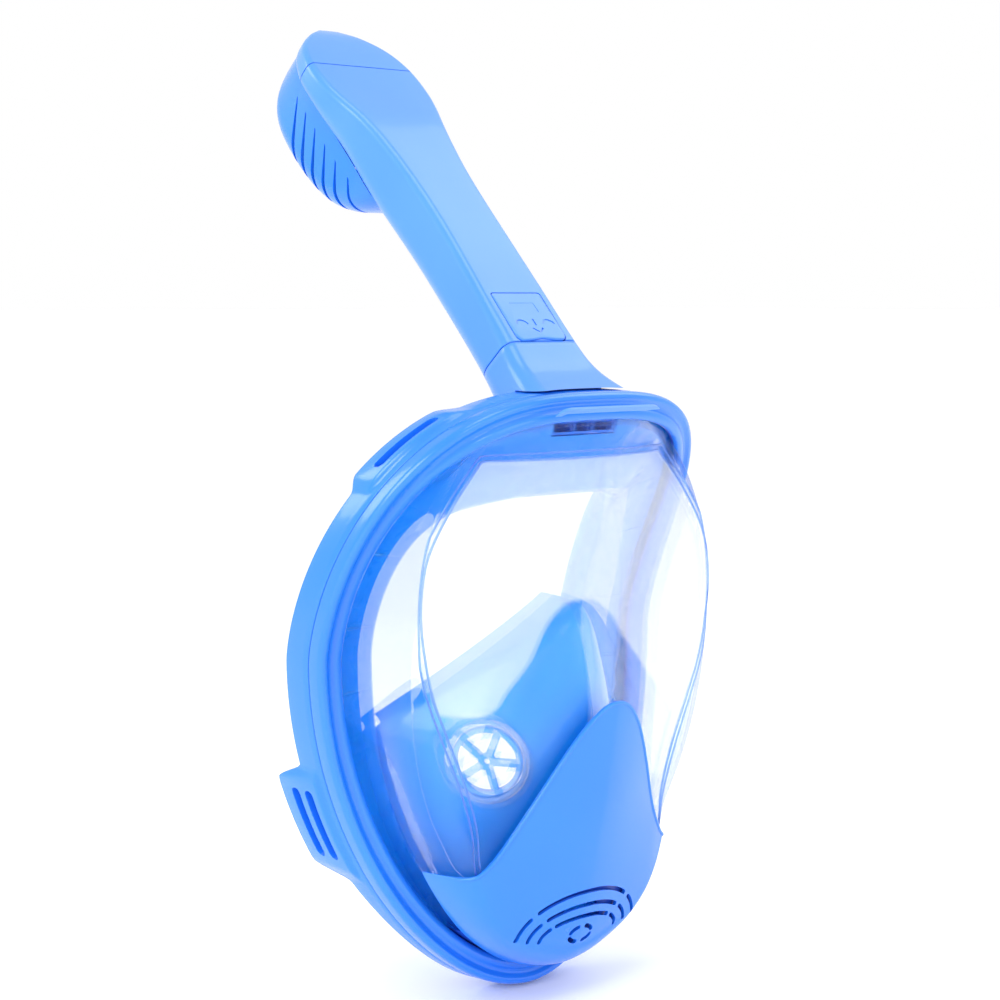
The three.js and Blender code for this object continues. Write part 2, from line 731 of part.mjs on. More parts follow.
function intakeValves() {
  const rimWidth = 2.3;
  Object.entries(intakeSide).forEach(([name, side]) => {
    const centre = intakeCentre(side);
    const normal = intakeNormal(side);
    const seat = spokedSeat(intakeRadius, rimWidth, 5, -2.6, 2);
    placeAlong(addPart(`intake_seat_${name}`, seat, materials.seat), centre, normal);
    const flap = flapDisc(intakeRadius - rimWidth - 0.6);
    const behind = along(centre, normal, -1 - gap - flapThick);
    placeAlong(addPart(`intake_flap_${name}`, flap, materials.silicone), behind, normal);
  });
}

function drainValve() {
  const wall = 1.6;
  const sunk = 3.8; // the duct's mouth lies this far inside the window's outer face
  const length = drainLow - sunk;
  const duct = washer(drainRadius - wall, drainRadius, -length, 0);
  const spokeLevel = -(1 + gap + flapThick + flapTravel + 0.4); // leaves room for the flap to lift
  const web = spokedSeat(drainRadius - wall + 0.4, 1, 4, -1, 1).translate(0, 0, spokeLevel);
  const mouth = along(drainCentre(), drainAxis, -sunk);
  placeAlong(addPart("drain_duct", join(duct, web), materials.seat), mouth, drainAxis);
  const flap = flapDisc(drainRadius - wall - 0.9);
  const rest = along(mouth, drainAxis, spokeLevel + 1 + gap);
  placeAlong(addPart("drain_flap", flap, materials.silicone), rest, drainAxis);
}

// ---------------------------------------------------------------- crown port
const portTop = bezelOut + 1.2; // the duct ends this far above the ridge, inside the base
const portFlapLift = 1.5;

function portDuct() {
  const { halfWidth, front, back, wall, low } = port;
  const at = (x, depth, rise) => [x, crown[1] + depth, crown[2] + rise];
  const upright = block(at(-halfWidth, front, -low), at(halfWidth, back, portTop));
  const mouth = block(at(-halfWidth, frameFront, -low), at(halfWidth, front + 1, -bezelLip - 0.5));
  const ribs = [[-halfWidth + wall, -5.6], [-4.4, 4.4], [5.6, halfWidth - wall]];
  const channels = ribs.flatMap(([from, to]) => [
    block(at(from, front + wall, -low + wall), at(to, back - wall, portTop + 1)),
    block(at(from, frameFront - 1, -low + wall), at(to, front + 2, -bezelLip - 0.5 - wall)),
  ]);
  return cut(join(upright, mouth), ...channels);
}

function portFlaps() {
  const { halfWidth, front, back } = port;
  Object.entries(intakeSide).forEach(([name, side]) => {
    const inner = 5 * side;
    const outer = (halfWidth - 0.6) * side;
    const rise = crown[2] + portTop + gap;
    const low = [Math.min(inner, outer), crown[1] + front + 0.6, rise];
    const high = [Math.max(inner, outer), crown[1] + back - 0.6, rise + flapThick];
    addPart(`port_flap_${name}`, block(low, high), materials.silicone);
  });
}

// ---------------------------------------------------------------- screws
function screws() {
  const profile = [
    [0, -1.4], [screwHead, -0.8], [screwHead, 0], [screwRadius, 0], [screwRadius, 6], [0, 6],
  ].map((p) => new THREE.Vector2(...p));
  screwSpots().forEach((angle, i) => {
    const screw = new THREE.LatheGeometry(profile, 8).rotateX(Math.PI);
    const mesh = addPart(`bezel_screw_${i + 1}`, screw, materials.steel);
    mesh.position.set(...rimPoint(angle, screwInset, frameBack + gap));
  });
}

// ---------------------------------------------------------------- snorkel, in its own frame
// Local Z runs up the tube from the seam of the base; local -Y is the front face.
const tubeHalfWidth = knotCurve([
  [-45, 30], [-37, 28], [-29, 26.5], [-17, 23], [0, 20.5], [29, 18.8], [68, 17.6], [95, 18.4],
  [114, 20.6], [128, 23.4], [140, 27], [150, 29.2], [164, 29.4], [174, 27], [182, 22.5], [190, 14], [196, 5],
]);
const frontFace = knotCurve([
  [-45, -27], [-37, -22.5], [-24, -17.2], [-12, -14.4], [0, -tubeFront], [60, -tubeFront],
  [95, -13], [128, -11.5], [150, -8.5], [166, -6.5], [180, -4.5], [190, -2.5], [196, 0],
]);
const rearFace = knotCurve([
  [-45, 11], [0, 11], [55, 13.5], [95, 15.5], [112, 14.5], [132, 11], [150, 7.5], [166, 7],
  [180, 6.5], [190, 4.5], [196, 2],
]);
const frontCorner = knotCurve([[-45, 8], [0, 5], [30, 3.6], [140, 3.4], [166, 3], [196, 1.5]]);

// Section of the tube at a height, shrunk by inset: a rounded box with its own corner radii.
function tubeSection(z, inset = 0) {
  const a = tubeHalfWidth(z) - inset;
  const front = frontFace(z) + inset;
  const rear = rearFace(z) - inset;
  const limit = Math.min(a, (rear - front) / 2) * 0.95;
  const sharp = clamp(frontCorner(z) - inset, 1, limit);
  const soft = clamp(10 - inset, 1, limit);
  const corners = [[1, -1, sharp], [1, 1, soft], [-1, 1, soft], [-1, -1, sharp]];
  return corners.flatMap(([sx, sy, r], c) => range(tubeSteps).map((i) => {
    const turn = radians(-90 + c * 90) + (i / (tubeSteps - 1)) * (Math.PI / 2);
    const cy = sy < 0 ? front + r : rear - r;
    return [sx * (a - r) + r * Math.cos(turn), cy + r * Math.sin(turn), z];
  }));
}

const heights = (from, to, steps) => range(steps + 1).map((i) => mix(from, to, i / steps));

// The section at the seam, moved to another height: the spigot keeps it so that it can slide.
const socketSection = (z, inset) => tubeSection(0, inset).map(([x, y]) => [x, y, z]);

// Hollow length of tube with an inset outer and inner skin.
function tubeShell(levels, outerInset, innerInset, section = tubeSection) {
  const outer = levels.map((z) => section(z, outerInset));
  const inner = levels.map((z) => section(z, innerInset));
  const around = range(4 * tubeSteps);
  return ringLoft(around.map((j) => [
    ...outer.map((loop) => loop[j]), ...inner.toReversed().map((loop) => loop[j]),
  ]));
}

// Solid that fills the inside of the rim, seen in the snorkel's own frame.
function rimPlug(inset, from, to) {
  const loops = [from, to].map((depth) => ringAngles.map((angle) => rimPoint(angle, inset, depth)));
  snorkel.updateMatrixWorld(true);
  return cappedLoft(loops).applyMatrix4(snorkel.matrixWorld.clone().invert());
}

const baseSeat = bezelOut + 1.1; // clearance of the base over the frame's crown
const baseFloor = 2.2;
const behindWall = wallDepth + gap;
const tuck = 3; // how far the base reaches down behind the crown wall

// Frame-shaped tools that end the base, its cavity and the spigot, each with its own spare.
const frameTools = (spare) => [
  rimPlug(-baseSeat - spare, -12, behindWall + spare), rimPlug(tuck - spare, behindWall - 1, 75),
];

const worldBlock = (low, high) => {
  snorkel.updateMatrixWorld(true);
  return block(low, high).applyMatrix4(snorkel.matrixWorld.clone().invert());
};

const baseWall = 2.6;
const tubeFoot = -46; // the base is drawn from here and ended by the frame's shape
const socketLow = -14; // the base's bore is straight from here up to the seam
const hook = { halfWidth: 7, height: 3.2 };

function snorkelBase() {
  const solid = cappedLoft(heights(tubeFoot, 0, 8).map((z) => tubeSection(z)));
  const flare = heights(tubeFoot, socketLow - 3, 4).map((z) => tubeSection(z, baseWall));
  const cavity = cappedLoft([...flare, ...[socketLow, 1].map((z) => socketSection(z, baseWall))]);
  const room = cut(cavity, ...frameTools(baseFloor));
  const { halfWidth, front, back } = port;
  const passageTop = portTop + flapThick + portFlapLift + 2 * gap;
  const passage = worldBlock(
    [-halfWidth - gap, crown[1] + front - gap, crown[2]],
    [halfWidth + gap, crown[1] + back + gap, crown[2] + passageTop],
  );
  const notch = block(
    [-hook.halfWidth - gap, -tubeFront - 6, -hook.height - gap],
    [hook.halfWidth + gap, -tubeFront + baseWall + 1, 1],
  );
  return cut(solid, ...frameTools(0), room, passage, notch);
}

const spigotInset = baseWall + gap;
const spigotWall = 1.8;
const sealGroove = [-10.4, -7.8]; // heights of the groove round the outside of the spigot
const grille = { low: 108, high: 182, halfWidth: 19, front: 3, depth: 42, wall: 1.8 };

function snorkelTube() {
  const levels = [gap, 30, 95, 105, 115, 125, 136, 150, tubeLength];
  const shell = tubeShell(levels, 0, tubeWall);
  const spigotLevels = heights(-spigotLength, 4, 4);
  const sleeve = tubeShell(spigotLevels, spigotInset, spigotInset + spigotWall, socketSection);
  const spigot = cut(sleeve, ...frameTools(baseFloor + 3.4));
  const collar = tubeShell([gap, 4], tubeWall - 0.3, spigotInset + 0.3);
  const latchWindow = block(
    [-latchWidth / 2 - gap, -tubeFront - 4, -1],
    [latchWidth / 2 + gap, -tubeFront + 6, latchHeight + 2 * gap],
  );
  const grilleWindow = block(
    [-grille.halfWidth + 3, 0, grille.low + 5], [grille.halfWidth - 3, 40, tubeLength - 6],
  );
  const hookSlot = block(
    [-hook.halfWidth - gap, -tubeFront - 4, -hook.height - 1], [hook.halfWidth + gap, -tubeFront + 6, 0],
  );
  const [low, high] = sealGroove;
  const groove = tubeShell([low, high], spigotInset - 1, spigotInset + 1, socketSection);
  return cut(join(shell, collar, spigot), latchWindow, hookSlot, grilleWindow, groove);
}

function spigotSeal() {
  const [low, high] = sealGroove;
  return tubeShell([low + gap, high - gap], spigotInset - 0.2, spigotInset + 0.8, socketSection);
}

function latchTab() {
  const half = latchWidth / 2;
  const front = -tubeFront + gap;
  const back = front + latchThick;
  const radius = latchThick / 2; // of the hinge barrel at the top edge
  const hinge = [-half, (front + back) / 2, latchHeight - radius];
  const plate = block([-half, front, gap], [half, back, latchHeight - radius]);
  const barrel = rod(hinge, [1, 0, 0], radius, latchWidth, 16);
  const catchPiece = block(
    [-hook.halfWidth, front, -hook.height], [hook.halfWidth, back, 1],
  );
  return join(plate, barrel, catchPiece);
}

function centreDuct() {
  const levels = [5, 108];
  const [half, front, back] = [8, -7, 6];
  const loop = (z, inset) => [
    [half - inset, front + inset, z], [half - inset, back - inset, z],
    [inset - half, back - inset, z], [inset - half, front + inset, z],
  ];
  const outer = levels.map((z) => loop(z, 0));
  const inner = levels.map((z) => loop(z, 1.2));
  return ringLoft(range(4).map((j) => [...outer.map((l) => l[j]), ...inner.toReversed().map((l) => l[j])]));
}

function topCap() {
  const levels = [gap, 7, 13, 19, 25].map((rise) => tubeLength + rise);
  const outer = levels.map((z) => tubeSection(z));
  const inner = levels.slice(0, 4).map((z) => tubeSection(z, tubeWall));
  const tip = (inset) => [0, 1, tubeLength + capHeight - inset];
  return poleLoft(tip(0), [...outer.toReversed(), ...inner], tip(tubeWall + 2));
}

// Rear grille: a shallow basket behind the head, with slanted slots through its sides.
function rearGrille() {
  const outline = (grow, y) => {
    const a = grille.halfWidth + grow;
    const low = grille.low - grow;
    const high = grille.high + grow;
    const r = Math.min(a, 9 + grow);
    const corners = [[1, low + r], [1, high - r], [-1, high - r], [-1, low + r]];
    return corners.flatMap(([sx, cz], c) => range(5).map((i) => {
      const turn = radians(-90 + c * 90) + (i / 4) * (Math.PI / 2);
      return [sx * (a - r) + r * Math.cos(turn), y, cz + r * Math.sin(turn)];
    }));
  };
  const back = grille.depth;
  const outer = [
    outline(0, grille.front), outline(0, back - 8), outline(-2.5, back - 2.5), outline(-7, back),
  ];
  const inner = [
    outline(-grille.wall, grille.front), outline(-grille.wall, back - 8.6),
    outline(-3.8, back - 4), outline(-8, back - grille.wall),
  ];
  const middle = (grille.low + grille.high) / 2;
  const loops = [...outer.toReversed(), ...inner];
  const shell = poleLoft([0, back, middle], loops, [0, back - grille.wall, middle]);
  // The basket is cut to fit round the tube's head and the cap on it.
  const head = cappedLoft(heights(90, tubeLength + 1, 8).map((z) => tubeSection(z, -gap)));
  const capRoom = cappedLoft(heights(tubeLength - 1, tubeLength + 26, 5).map((z) => tubeSection(z, -gap)));
  const slots = range(6).map((i) => {
    const top = grille.low + 24 + i * 8.5;
    const slot = new THREE.Shape([
      [28, top], [back - 4, top - 13], [back - 4, top - 16.6], [28, top - 2.4],
    ].map((p) => new THREE.Vector2(...p)));
    const solid = new THREE.ExtrudeGeometry(slot, { depth: 60, bevelEnabled: false });
    // Shape X and Y become local Y and Z, and the extrusion runs along X.
    const turned = new THREE.Matrix4().makeBasis(
      new THREE.Vector3(0, 1, 0), new THREE.Vector3(0, 0, 1), new THREE.Vector3(1, 0, 0),
    );
    return solid.applyMatrix4(turned).translate(-30, 0, 0);
  });
  return cut(shell, head, capRoom, ...slots);
}

const sealThick = 1.3;
const sealRadius = 7.6; // covers the hole of the seat
const cage = {
  low: 120, radius: 11.2, y: 7, floor: 2, post: 0.8, bottomHole: 5.5, seatHole: 6, seatThick: 2.5,
};
const floatLow = cage.low + cage.floor + gap;
const floatTop = floatLow + floatHeight;
cage.seat = floatTop + gap + sealThick + floatTravel + gap;

function floatCage() {
  const bottom = washer(cage.bottomHole, cage.radius, cage.low, cage.low + cage.floor);
  bottom.translate(0, cage.y, 0);
  const posts = range(4).map((i) => {
    const turn = radians(45 + 90 * i);
    const r = cage.radius - cage.post;
    const start = [r * Math.cos(turn), cage.y + r * Math.sin(turn), cage.low + 1];
    return rod(start, [0, 0, 1], cage.post, cage.seat - cage.low, 8);
  });
  const plate = rod([0, cage.y, cage.seat], [0, 0, 1], cage.radius + 0.6, cage.seatThick, 24);
  const hole = rod([0, cage.y, cage.seat - 2], [0, 0, 1], cage.seatHole, 8, 20);
  return cut(join(plate, bottom, ...posts), hole);
}

const floatBody = () => rod([0, cage.y, floatLow], [0, 0, 1], floatRadius, floatHeight);
const floatSeal = () => rod([0, cage.y, floatTop + gap], [0, 0, 1], sealRadius, sealThick);

// ---------------------------------------------------------------- build
addPart("front_bezel", cut(frontBezel(), ...screwSpots().map(screwHole)), materials.shell);
addPart("lens_gasket", lensGasket(), materials.gasket);
addPart("lens", windowLens(), materials.clear);
addPart("face_skirt", faceSkirt(), materials.silicone);
addPart("rear_frame", rearFrame(), materials.shell);
addPart("chin_cover", chinCover(), materials.shell);
addPart("nose_pocket", nosePocket(), materials.silicone);
intakeValves();
drainValve();
addPart("port_duct", portDuct(), materials.seat);
portFlaps();
screws();

addPart("snorkel_base", snorkelBase(), materials.tube, snorkel);
addPart("snorkel_tube", snorkelTube(), materials.tube, snorkel);
addPart("spigot_seal", spigotSeal(), materials.gasket, snorkel);
addPart("latch_tab", latchTab(), materials.tube, snorkel);
addPart("centre_duct", centreDuct(), materials.seat, snorkel);
addPart("top_cap", topCap(), materials.tube, snorkel);
addPart("rear_grille", rearGrille(), materials.shell, snorkel);
addPart("float_cage", floatCage(), materials.seat, snorkel);
addPart("float", floatBody(), materials.foam, snorkel);
addPart("float_seal", floatSeal(), materials.gasket, snorkel);

export default group;
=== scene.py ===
import math

import bmesh
import bpy
from mathutils import Matrix, Vector
from mathutils.bvhtree import BVHTree


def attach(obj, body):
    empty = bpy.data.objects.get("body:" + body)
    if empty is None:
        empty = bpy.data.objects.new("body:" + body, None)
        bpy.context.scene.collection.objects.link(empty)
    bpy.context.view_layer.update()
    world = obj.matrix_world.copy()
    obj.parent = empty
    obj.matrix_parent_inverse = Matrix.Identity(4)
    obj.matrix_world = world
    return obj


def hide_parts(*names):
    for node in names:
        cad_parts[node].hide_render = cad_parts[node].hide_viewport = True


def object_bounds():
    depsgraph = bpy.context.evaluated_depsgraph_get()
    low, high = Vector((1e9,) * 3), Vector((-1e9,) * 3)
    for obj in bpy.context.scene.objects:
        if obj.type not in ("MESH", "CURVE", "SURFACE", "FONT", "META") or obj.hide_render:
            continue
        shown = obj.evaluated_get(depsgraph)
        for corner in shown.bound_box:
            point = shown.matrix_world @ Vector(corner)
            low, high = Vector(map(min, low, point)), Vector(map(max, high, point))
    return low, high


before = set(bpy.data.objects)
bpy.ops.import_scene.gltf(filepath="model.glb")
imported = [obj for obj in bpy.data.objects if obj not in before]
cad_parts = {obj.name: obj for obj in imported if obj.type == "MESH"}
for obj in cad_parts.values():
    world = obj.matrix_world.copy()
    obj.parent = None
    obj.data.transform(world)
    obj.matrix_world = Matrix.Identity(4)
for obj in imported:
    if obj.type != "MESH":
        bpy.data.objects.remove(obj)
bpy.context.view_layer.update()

MM = 0.001

# --- sizes, in millimetres
GAP = 0.3
HALF_WIDTH, CROWN_RISE, CHIN_DROP, WIDEST = 90.0, 104.5, 139.0, 20.0
CROWN_POWER, CHIN_POWER = 3.0, 1.93
RIM_BACK, CROWN_FORWARD, CHIN_FORWARD = -28.0, 61.0, 22.6
BEZEL_LIP, BEZEL_CAP, BEZEL_LEG, BEZEL_OUT = 8.8, 3.4, 4.9, 2.5
GASKET, LENS, SKIRT, FLANGE, WALL = 1.0, 2.2, 2.0, 2.2, 3.0
FLANGE_OUTER = 5.0
WALL_DEPTH, CHIN_WALL_DEPTH = 22.5, 15.0
GASKET_FRONT = BEZEL_CAP + GAP
LENS_FRONT = GASKET_FRONT + GASKET + GAP
LENS_BACK = LENS_FRONT + LENS
SKIRT_FRONT = LENS_BACK + GAP
SKIRT_BACK = SKIRT_FRONT + SKIRT
FRAME_FRONT = SKIRT_BACK + GAP
FRAME_BACK = FRAME_FRONT + FLANGE
BEZEL_BACK = BEZEL_CAP + BEZEL_LEG
WALL_INSET = -BEZEL_OUT - 0.7
EAR_OUT = WALL_INSET - 1.6
EAR_FRONT = 13.0
FOLD_Y, PANEL_TOP, DOME_Z = -74.0, 101.0, 10.0
PORT = {"half": 17.0, "front": 16.5, "back": 21.3, "low": 14.5}
RING = 300


def mix(a, b, t):
    return a + (b - a) * t


def clamp(v, low=0.0, high=1.0):
    return min(high, max(low, v))


def smooth(low, high, value):
    t = clamp((value - low) / (high - low))
    return t * t * (3 - 2 * t)


def turns(count):
    """Angles of a full turn in equal steps."""
    return [k / count * math.tau for k in range(count)]


def curve_through(knots):
    """Smooth value = f(key) through a few (key, value) knots."""
    def slope(i):
        a, b = knots[max(i - 1, 0)], knots[min(i + 1, len(knots) - 1)]
        return (b[1] - a[1]) / (b[0] - a[0])

    def at(key):
        k = clamp(key, knots[0][0], knots[-1][0])
        i = 0
        while i < len(knots) - 2 and k > knots[i + 1][0]:
            i += 1
        (k0, v0), (k1, v1) = knots[i], knots[i + 1]
        h = k1 - k0
        t = (k - k0) / h
        rise = t * t * (3 - 2 * t)
        return (v0 + (v1 - v0) * rise + t * (1 - t) ** 2 * h * slope(i)
                - t * t * (1 - t) * h * slope(i + 1))

    return at


# --- rim
def rim(angle, inset=0.0, depth=0.0):
    s, c = math.sin(angle), math.cos(angle)
    power, height = (CROWN_POWER, CROWN_RISE) if c >= 0 else (CHIN_POWER, CHIN_DROP)
    radius = ((abs(s) / HALF_WIDTH) ** power + (abs(c) / height) ** power) ** (-1 / power)
    x, z = radius * s, radius * c
    nx = math.copysign(abs(x / HALF_WIDTH) ** (power - 1), x) / HALF_WIDTH
    nz = math.copysign(abs(z / height) ** (power - 1), z) / height
    n = math.hypot(nx, nz)
    if z > 0:
        lean = CROWN_FORWARD * (z / CROWN_RISE) ** 1.5
    else:
        lean = CHIN_FORWARD * (z / CHIN_DROP) ** 2
    return Vector((x - nx / n * inset, RIM_BACK - lean + depth, WIDEST + z - nz / n * inset))


ANGLES = [i / RING * math.tau for i in range(RING)]
CROWN = rim(0)


def around(angle, crown, side, chin):
    c = math.cos(angle)
    return mix(side, crown if c > 0 else chin, c * c)


# --- mesh making
def build(name, points, faces, material=None, sharp=40):
    mesh = bpy.data.meshes.new(name)
    mesh.from_pydata([Vector(p) * MM for p in points], [], faces)
    bm = bmesh.new()
    bm.from_mesh(mesh)
    bmesh.ops.remove_doubles(bm, verts=bm.verts, dist=2e-6)
    bmesh.ops.recalc_face_normals(bm, faces=bm.faces)
    bm.to_mesh(mesh)
    bm.free()
    obj = bpy.data.objects.new(name, mesh)
    bpy.context.scene.collection.objects.link(obj)
    if material:
        mesh.materials.append(material)
    shade(obj, sharp)
    return obj


def shade(obj, sharp=40):
    obj.data.polygons.foreach_set("use_smooth", [True] * len(obj.data.polygons))
    obj.data.set_sharp_from_angle(angle=math.radians(sharp))
    obj.data.update()


def ring_loft(sections):
    """Closed sections joined into a ring."""
    n, m = len(sections), len(sections[0])
    faces = [
        (i * m + j, i * m + (j + 1) % m, (i + 1) % n * m + (j + 1) % m, (i + 1) % n * m + j)
        for i in range(n) for j in range(m)
    ]
    return [p for s in sections for p in s], faces


def capped_loft(loops):
    """Closed loops joined in a row, with a face over each end."""
    m = len(loops[0])
    faces = [
        (i * m + j, i * m + (j + 1) % m, (i + 1) * m + (j + 1) % m, (i + 1) * m + j)
        for i in range(len(loops) - 1) for j in range(m)
    ]
    last = (len(loops) - 1) * m
    faces.append(tuple(reversed(range(m))))
    faces.append(tuple(range(last, last + m)))
    return [p for s in loops for p in s], faces


def pole_loft(first, loops, last):
    """Closed loops joined in a row, with a point closing each end."""
    m = len(loops[0])
    points, faces = capped_loft(loops)
    faces = faces[:-2]
    a, b = len(points), len(points) + 1
    end = (len(loops) - 1) * m
    faces += [(a, (j + 1) % m, j) for j in range(m)]
    faces += [(b, end + j, end + (j + 1) % m) for j in range(m)]
    return points + [first, last], faces


def fillet(points, cut, steps=4):
    """Closed outline with each corner rounded; cut is one length or one per corner."""
    out = []
    for i, p in enumerate(points):
        a, b, c = Vector(points[i - 1]), Vector(p), Vector(points[(i + 1) % len(points)])
        r = cut[i] if isinstance(cut, (list, tuple)) else cut
        r = min(r, 0.46 * (a - b).length, 0.46 * (c - b).length)
        start, end = b + (a - b).normalized() * r, b + (c - b).normalized() * r
        for k in range(steps + 1):
            t = k / steps
            out.append(start * (1 - t) ** 2 + b * (2 * t * (1 - t)) + end * t * t)
    return out


def rim_ring(profile, cut, steps=4, angles=ANGLES):
    sections = []
    for angle in angles:
        pairs = profile(angle) if callable(profile) else profile
        sections.append([rim(angle, q[0], q[1]) for q in fillet(pairs, cut, steps)])
    return ring_loft(sections)


def offset_grid(grid, distance, wrap):
    rows, cols = len(grid), len(grid[0])
    out = []
    for i, row in enumerate(grid):
        line = []
        for j, p in enumerate(row):
            up, down = grid[max(i - 1, 0)][j], grid[min(i + 1, rows - 1)][j]
            left = row[(j - 1) % cols if wrap else max(j - 1, 0)]
            right = row[(j + 1) % cols if wrap else min(j + 1, cols - 1)]
            line.append(p + (down - up).cross(right - left).normalized() * distance)
        out.append(line)
    return out


def carve(obj, tools, operation="DIFFERENCE", sharp=40):
    """Cuts tools out of obj (or keeps what they share) and removes the tools."""
    for tool in tools:
        cut = obj.modifiers.new("carve", "BOOLEAN")
        cut.operation = operation
        cut.solver = "EXACT"
        cut.object = tool
    shown = obj.evaluated_get(bpy.context.evaluated_depsgraph_get())
    mesh = bpy.data.meshes.new_from_object(shown)
    obj.modifiers.clear()
    old, obj.data = obj.data, mesh
    bpy.data.meshes.remove(old)
    for tool in tools:
        bpy.data.objects.remove(tool)
    shade(obj, sharp)
    return obj


def join(name, parts, material=None):
    """One object from several closed shells."""
    bm = bmesh.new()
    for part in parts:
        bm.from_mesh(part.data)
    mesh = bpy.data.meshes.new(name)
    bm.to_mesh(mesh)
    bm.free()
    slots = material or parts[0].data.materials[0]
    for part in parts:
        bpy.data.objects.remove(part)
    mesh.materials.append(slots)
    obj = bpy.data.objects.new(name, mesh)
    bpy.context.scene.collection.objects.link(obj)
    shade(obj)
    return obj


def rod(start, direction, radius, length, sides=64, cut=0.0):
    """Closed cylinder from a point along a direction, with rounded ends if cut is given."""
    side = Vector((0, 0, 1)).rotation_difference(Vector(direction).normalized())
    levels = [(radius - cut, 0.0), (radius, cut), (radius, length - cut), (radius - cut, length)]
    if not cut:
        levels = [(radius, 0.0), (radius, length)]
    loops = []
    for r, h in levels:
        loops.append([
            Vector(start) + side @ Vector((r * math.cos(a), r * math.sin(a), h))
            for a in turns(sides)
        ])
    return capped_loft(loops)


def lathe(profile, centre, axis, sides=72, cut=0.3, steps=3):
    """Closed ring of revolution from a [radius, height] outline."""
    turn = Vector((0, 0, 1)).rotation_difference(Vector(axis).normalized())
    outline = fillet(profile, cut, steps)
    return ring_loft([
        [Vector(centre) + turn @ Vector((q[0] * math.cos(a), q[0] * math.sin(a), q[1])) for q in outline]
        for a in turns(sides)
    ])


def placed(points, matrix):
    return [matrix @ Vector(p) for p in points]


def rounded_box(name, sizes, matrix, material, cut=0.5):
    """Box with rounded edges, its middle at the matrix's place."""
    bm = bmesh.new()
    bmesh.ops.create_cube(bm, size=1.0)
    bmesh.ops.scale(bm, vec=Vector(sizes) * MM, verts=bm.verts)
    bmesh.ops.bevel(bm, geom=bm.edges[:], offset=cut * MM, segments=3, profile=0.5, affect="EDGES")
    turn = matrix.to_3x3().to_4x4()
    bmesh.ops.transform(bm, matrix=Matrix.Translation(matrix.translation * MM) @ turn, verts=bm.verts)
    mesh = bpy.data.meshes.new(name)
    bm.to_mesh(mesh)
    bm.free()
    obj = bpy.data.objects.new(name, mesh)
    bpy.context.scene.collection.objects.link(obj)
    mesh.materials.append(material)
    shade(obj, 50)
    return obj


def tube_along(path, radius, sides=10):
    """Closed tube of small radius along a path, with round ends."""
    loops = []
    n = len(path)
    for i, p in enumerate(path):
        run = (path[min(i + 1, n - 1)] - path[max(i - 1, 0)]).normalized()
        side = run.cross(Vector((0, 1, 0.02))).normalized()
        up = side.cross(run)
        r = radius * min(1.0, (0.25 + i) / 2, (n - 0.75 - i) / 2)
        loops.append([
            p + side * (r * math.cos(a)) + up * (r * math.sin(a))
            for a in turns(sides)
        ])
    return capped_loft(loops)


# --- materials
def new_material(name):
    material = bpy.data.materials.new(name)
    material.use_nodes = True
    tree = material.node_tree
    return material, tree, tree.nodes["Principled BSDF"]


def set_inputs(shader, values):
    """Sets plain values on a node's own sockets."""
    for key, value in values.items():
        shader.inputs[key].default_value = value


def node(tree, kind, **values):
    made = tree.nodes.new(kind)
    for key, value in values.items():
        if key in made.inputs:
            made.inputs[key].default_value = value
        else:
            setattr(made, key, value)
    return made


def noise(tree, scale, detail=3.0, rough=0.5, stretch=(1, 1, 1)):
    where = node(tree, "ShaderNodeTexCoord")
    placing = node(tree, "ShaderNodeMapping")
    placing.inputs["Scale"].default_value = stretch
    tree.links.new(where.outputs["Object"], placing.inputs["Vector"])
    made = node(tree, "ShaderNodeTexNoise", Scale=scale, Detail=detail, Roughness=rough)
    tree.links.new(placing.outputs["Vector"], made.inputs["Vector"])
    return made.outputs["Fac"]


def ramp(tree, source, stops):
    made = node(tree, "ShaderNodeValToRGB")
    elements = made.color_ramp.elements
    while len(elements) < len(stops):
        elements.new(0.5)
    for element, (place, colour) in zip(elements, stops):
        element.position = place
        element.color = (*colour, 1)
    tree.links.new(source, made.inputs["Fac"])
    return made.outputs["Color"]


def spread(tree, source, low, high):
    made = node(tree, "ShaderNodeMapRange")
    set_inputs(made, {
        "To Min": low, "To Max": high,
    })
    tree.links.new(source, made.inputs["Value"])
    return made.outputs["Result"]


def bump(tree, shader, source, strength, distance=0.0004):
    made = node(tree, "ShaderNodeBump", Strength=strength, Distance=distance)
    tree.links.new(source, made.inputs["Height"])
    tree.links.new(made.outputs["Normal"], shader.inputs["Normal"])


def plastic(name, dark, light, rough=(0.2, 0.3), coat=0.35, under=0.06):
    """Moulded glossy plastic: a slow drift of tone, faint orange peel and fine scuffs."""
    material, tree, shader = new_material(name)
    tone = ramp(tree, noise(tree, 9.0, 2.0), [(0.3, dark), (0.72, light)])
    tree.links.new(tone, shader.inputs["Base Color"])
    tree.links.new(spread(tree, noise(tree, 60.0, 4.0, 0.6), *rough), shader.inputs["Roughness"])
    bump(tree, shader, noise(tree, 520.0, 2.0), 0.035)
    set_inputs(shader, {
        "Coat Weight": coat, "Coat Roughness": 0.08, "Subsurface Weight": under,
        "Subsurface Radius": (0.2, 0.5, 1.0), "Subsurface Scale": 0.003,
    })
    return material


def silicone(name, dark, light, rough=(0.22, 0.34), under=0.2, clear=0.0):
    material, tree, shader = new_material(name)
    tone = ramp(tree, noise(tree, 14.0, 3.0), [(0.3, dark), (0.7, light)])
    tree.links.new(tone, shader.inputs["Base Color"])
    tree.links.new(spread(tree, noise(tree, 90.0, 3.0), *rough), shader.inputs["Roughness"])
    bump(tree, shader, noise(tree, 260.0, 3.0), 0.05)
    set_inputs(shader, {
        "Subsurface Weight": under, "Subsurface Radius": (0.1, 0.35, 1.0), "Subsurface Scale": 0.004,
        "Transmission Weight": clear, "Coat Weight": 0.3, "Coat Roughness": 0.15,
    })
    return material


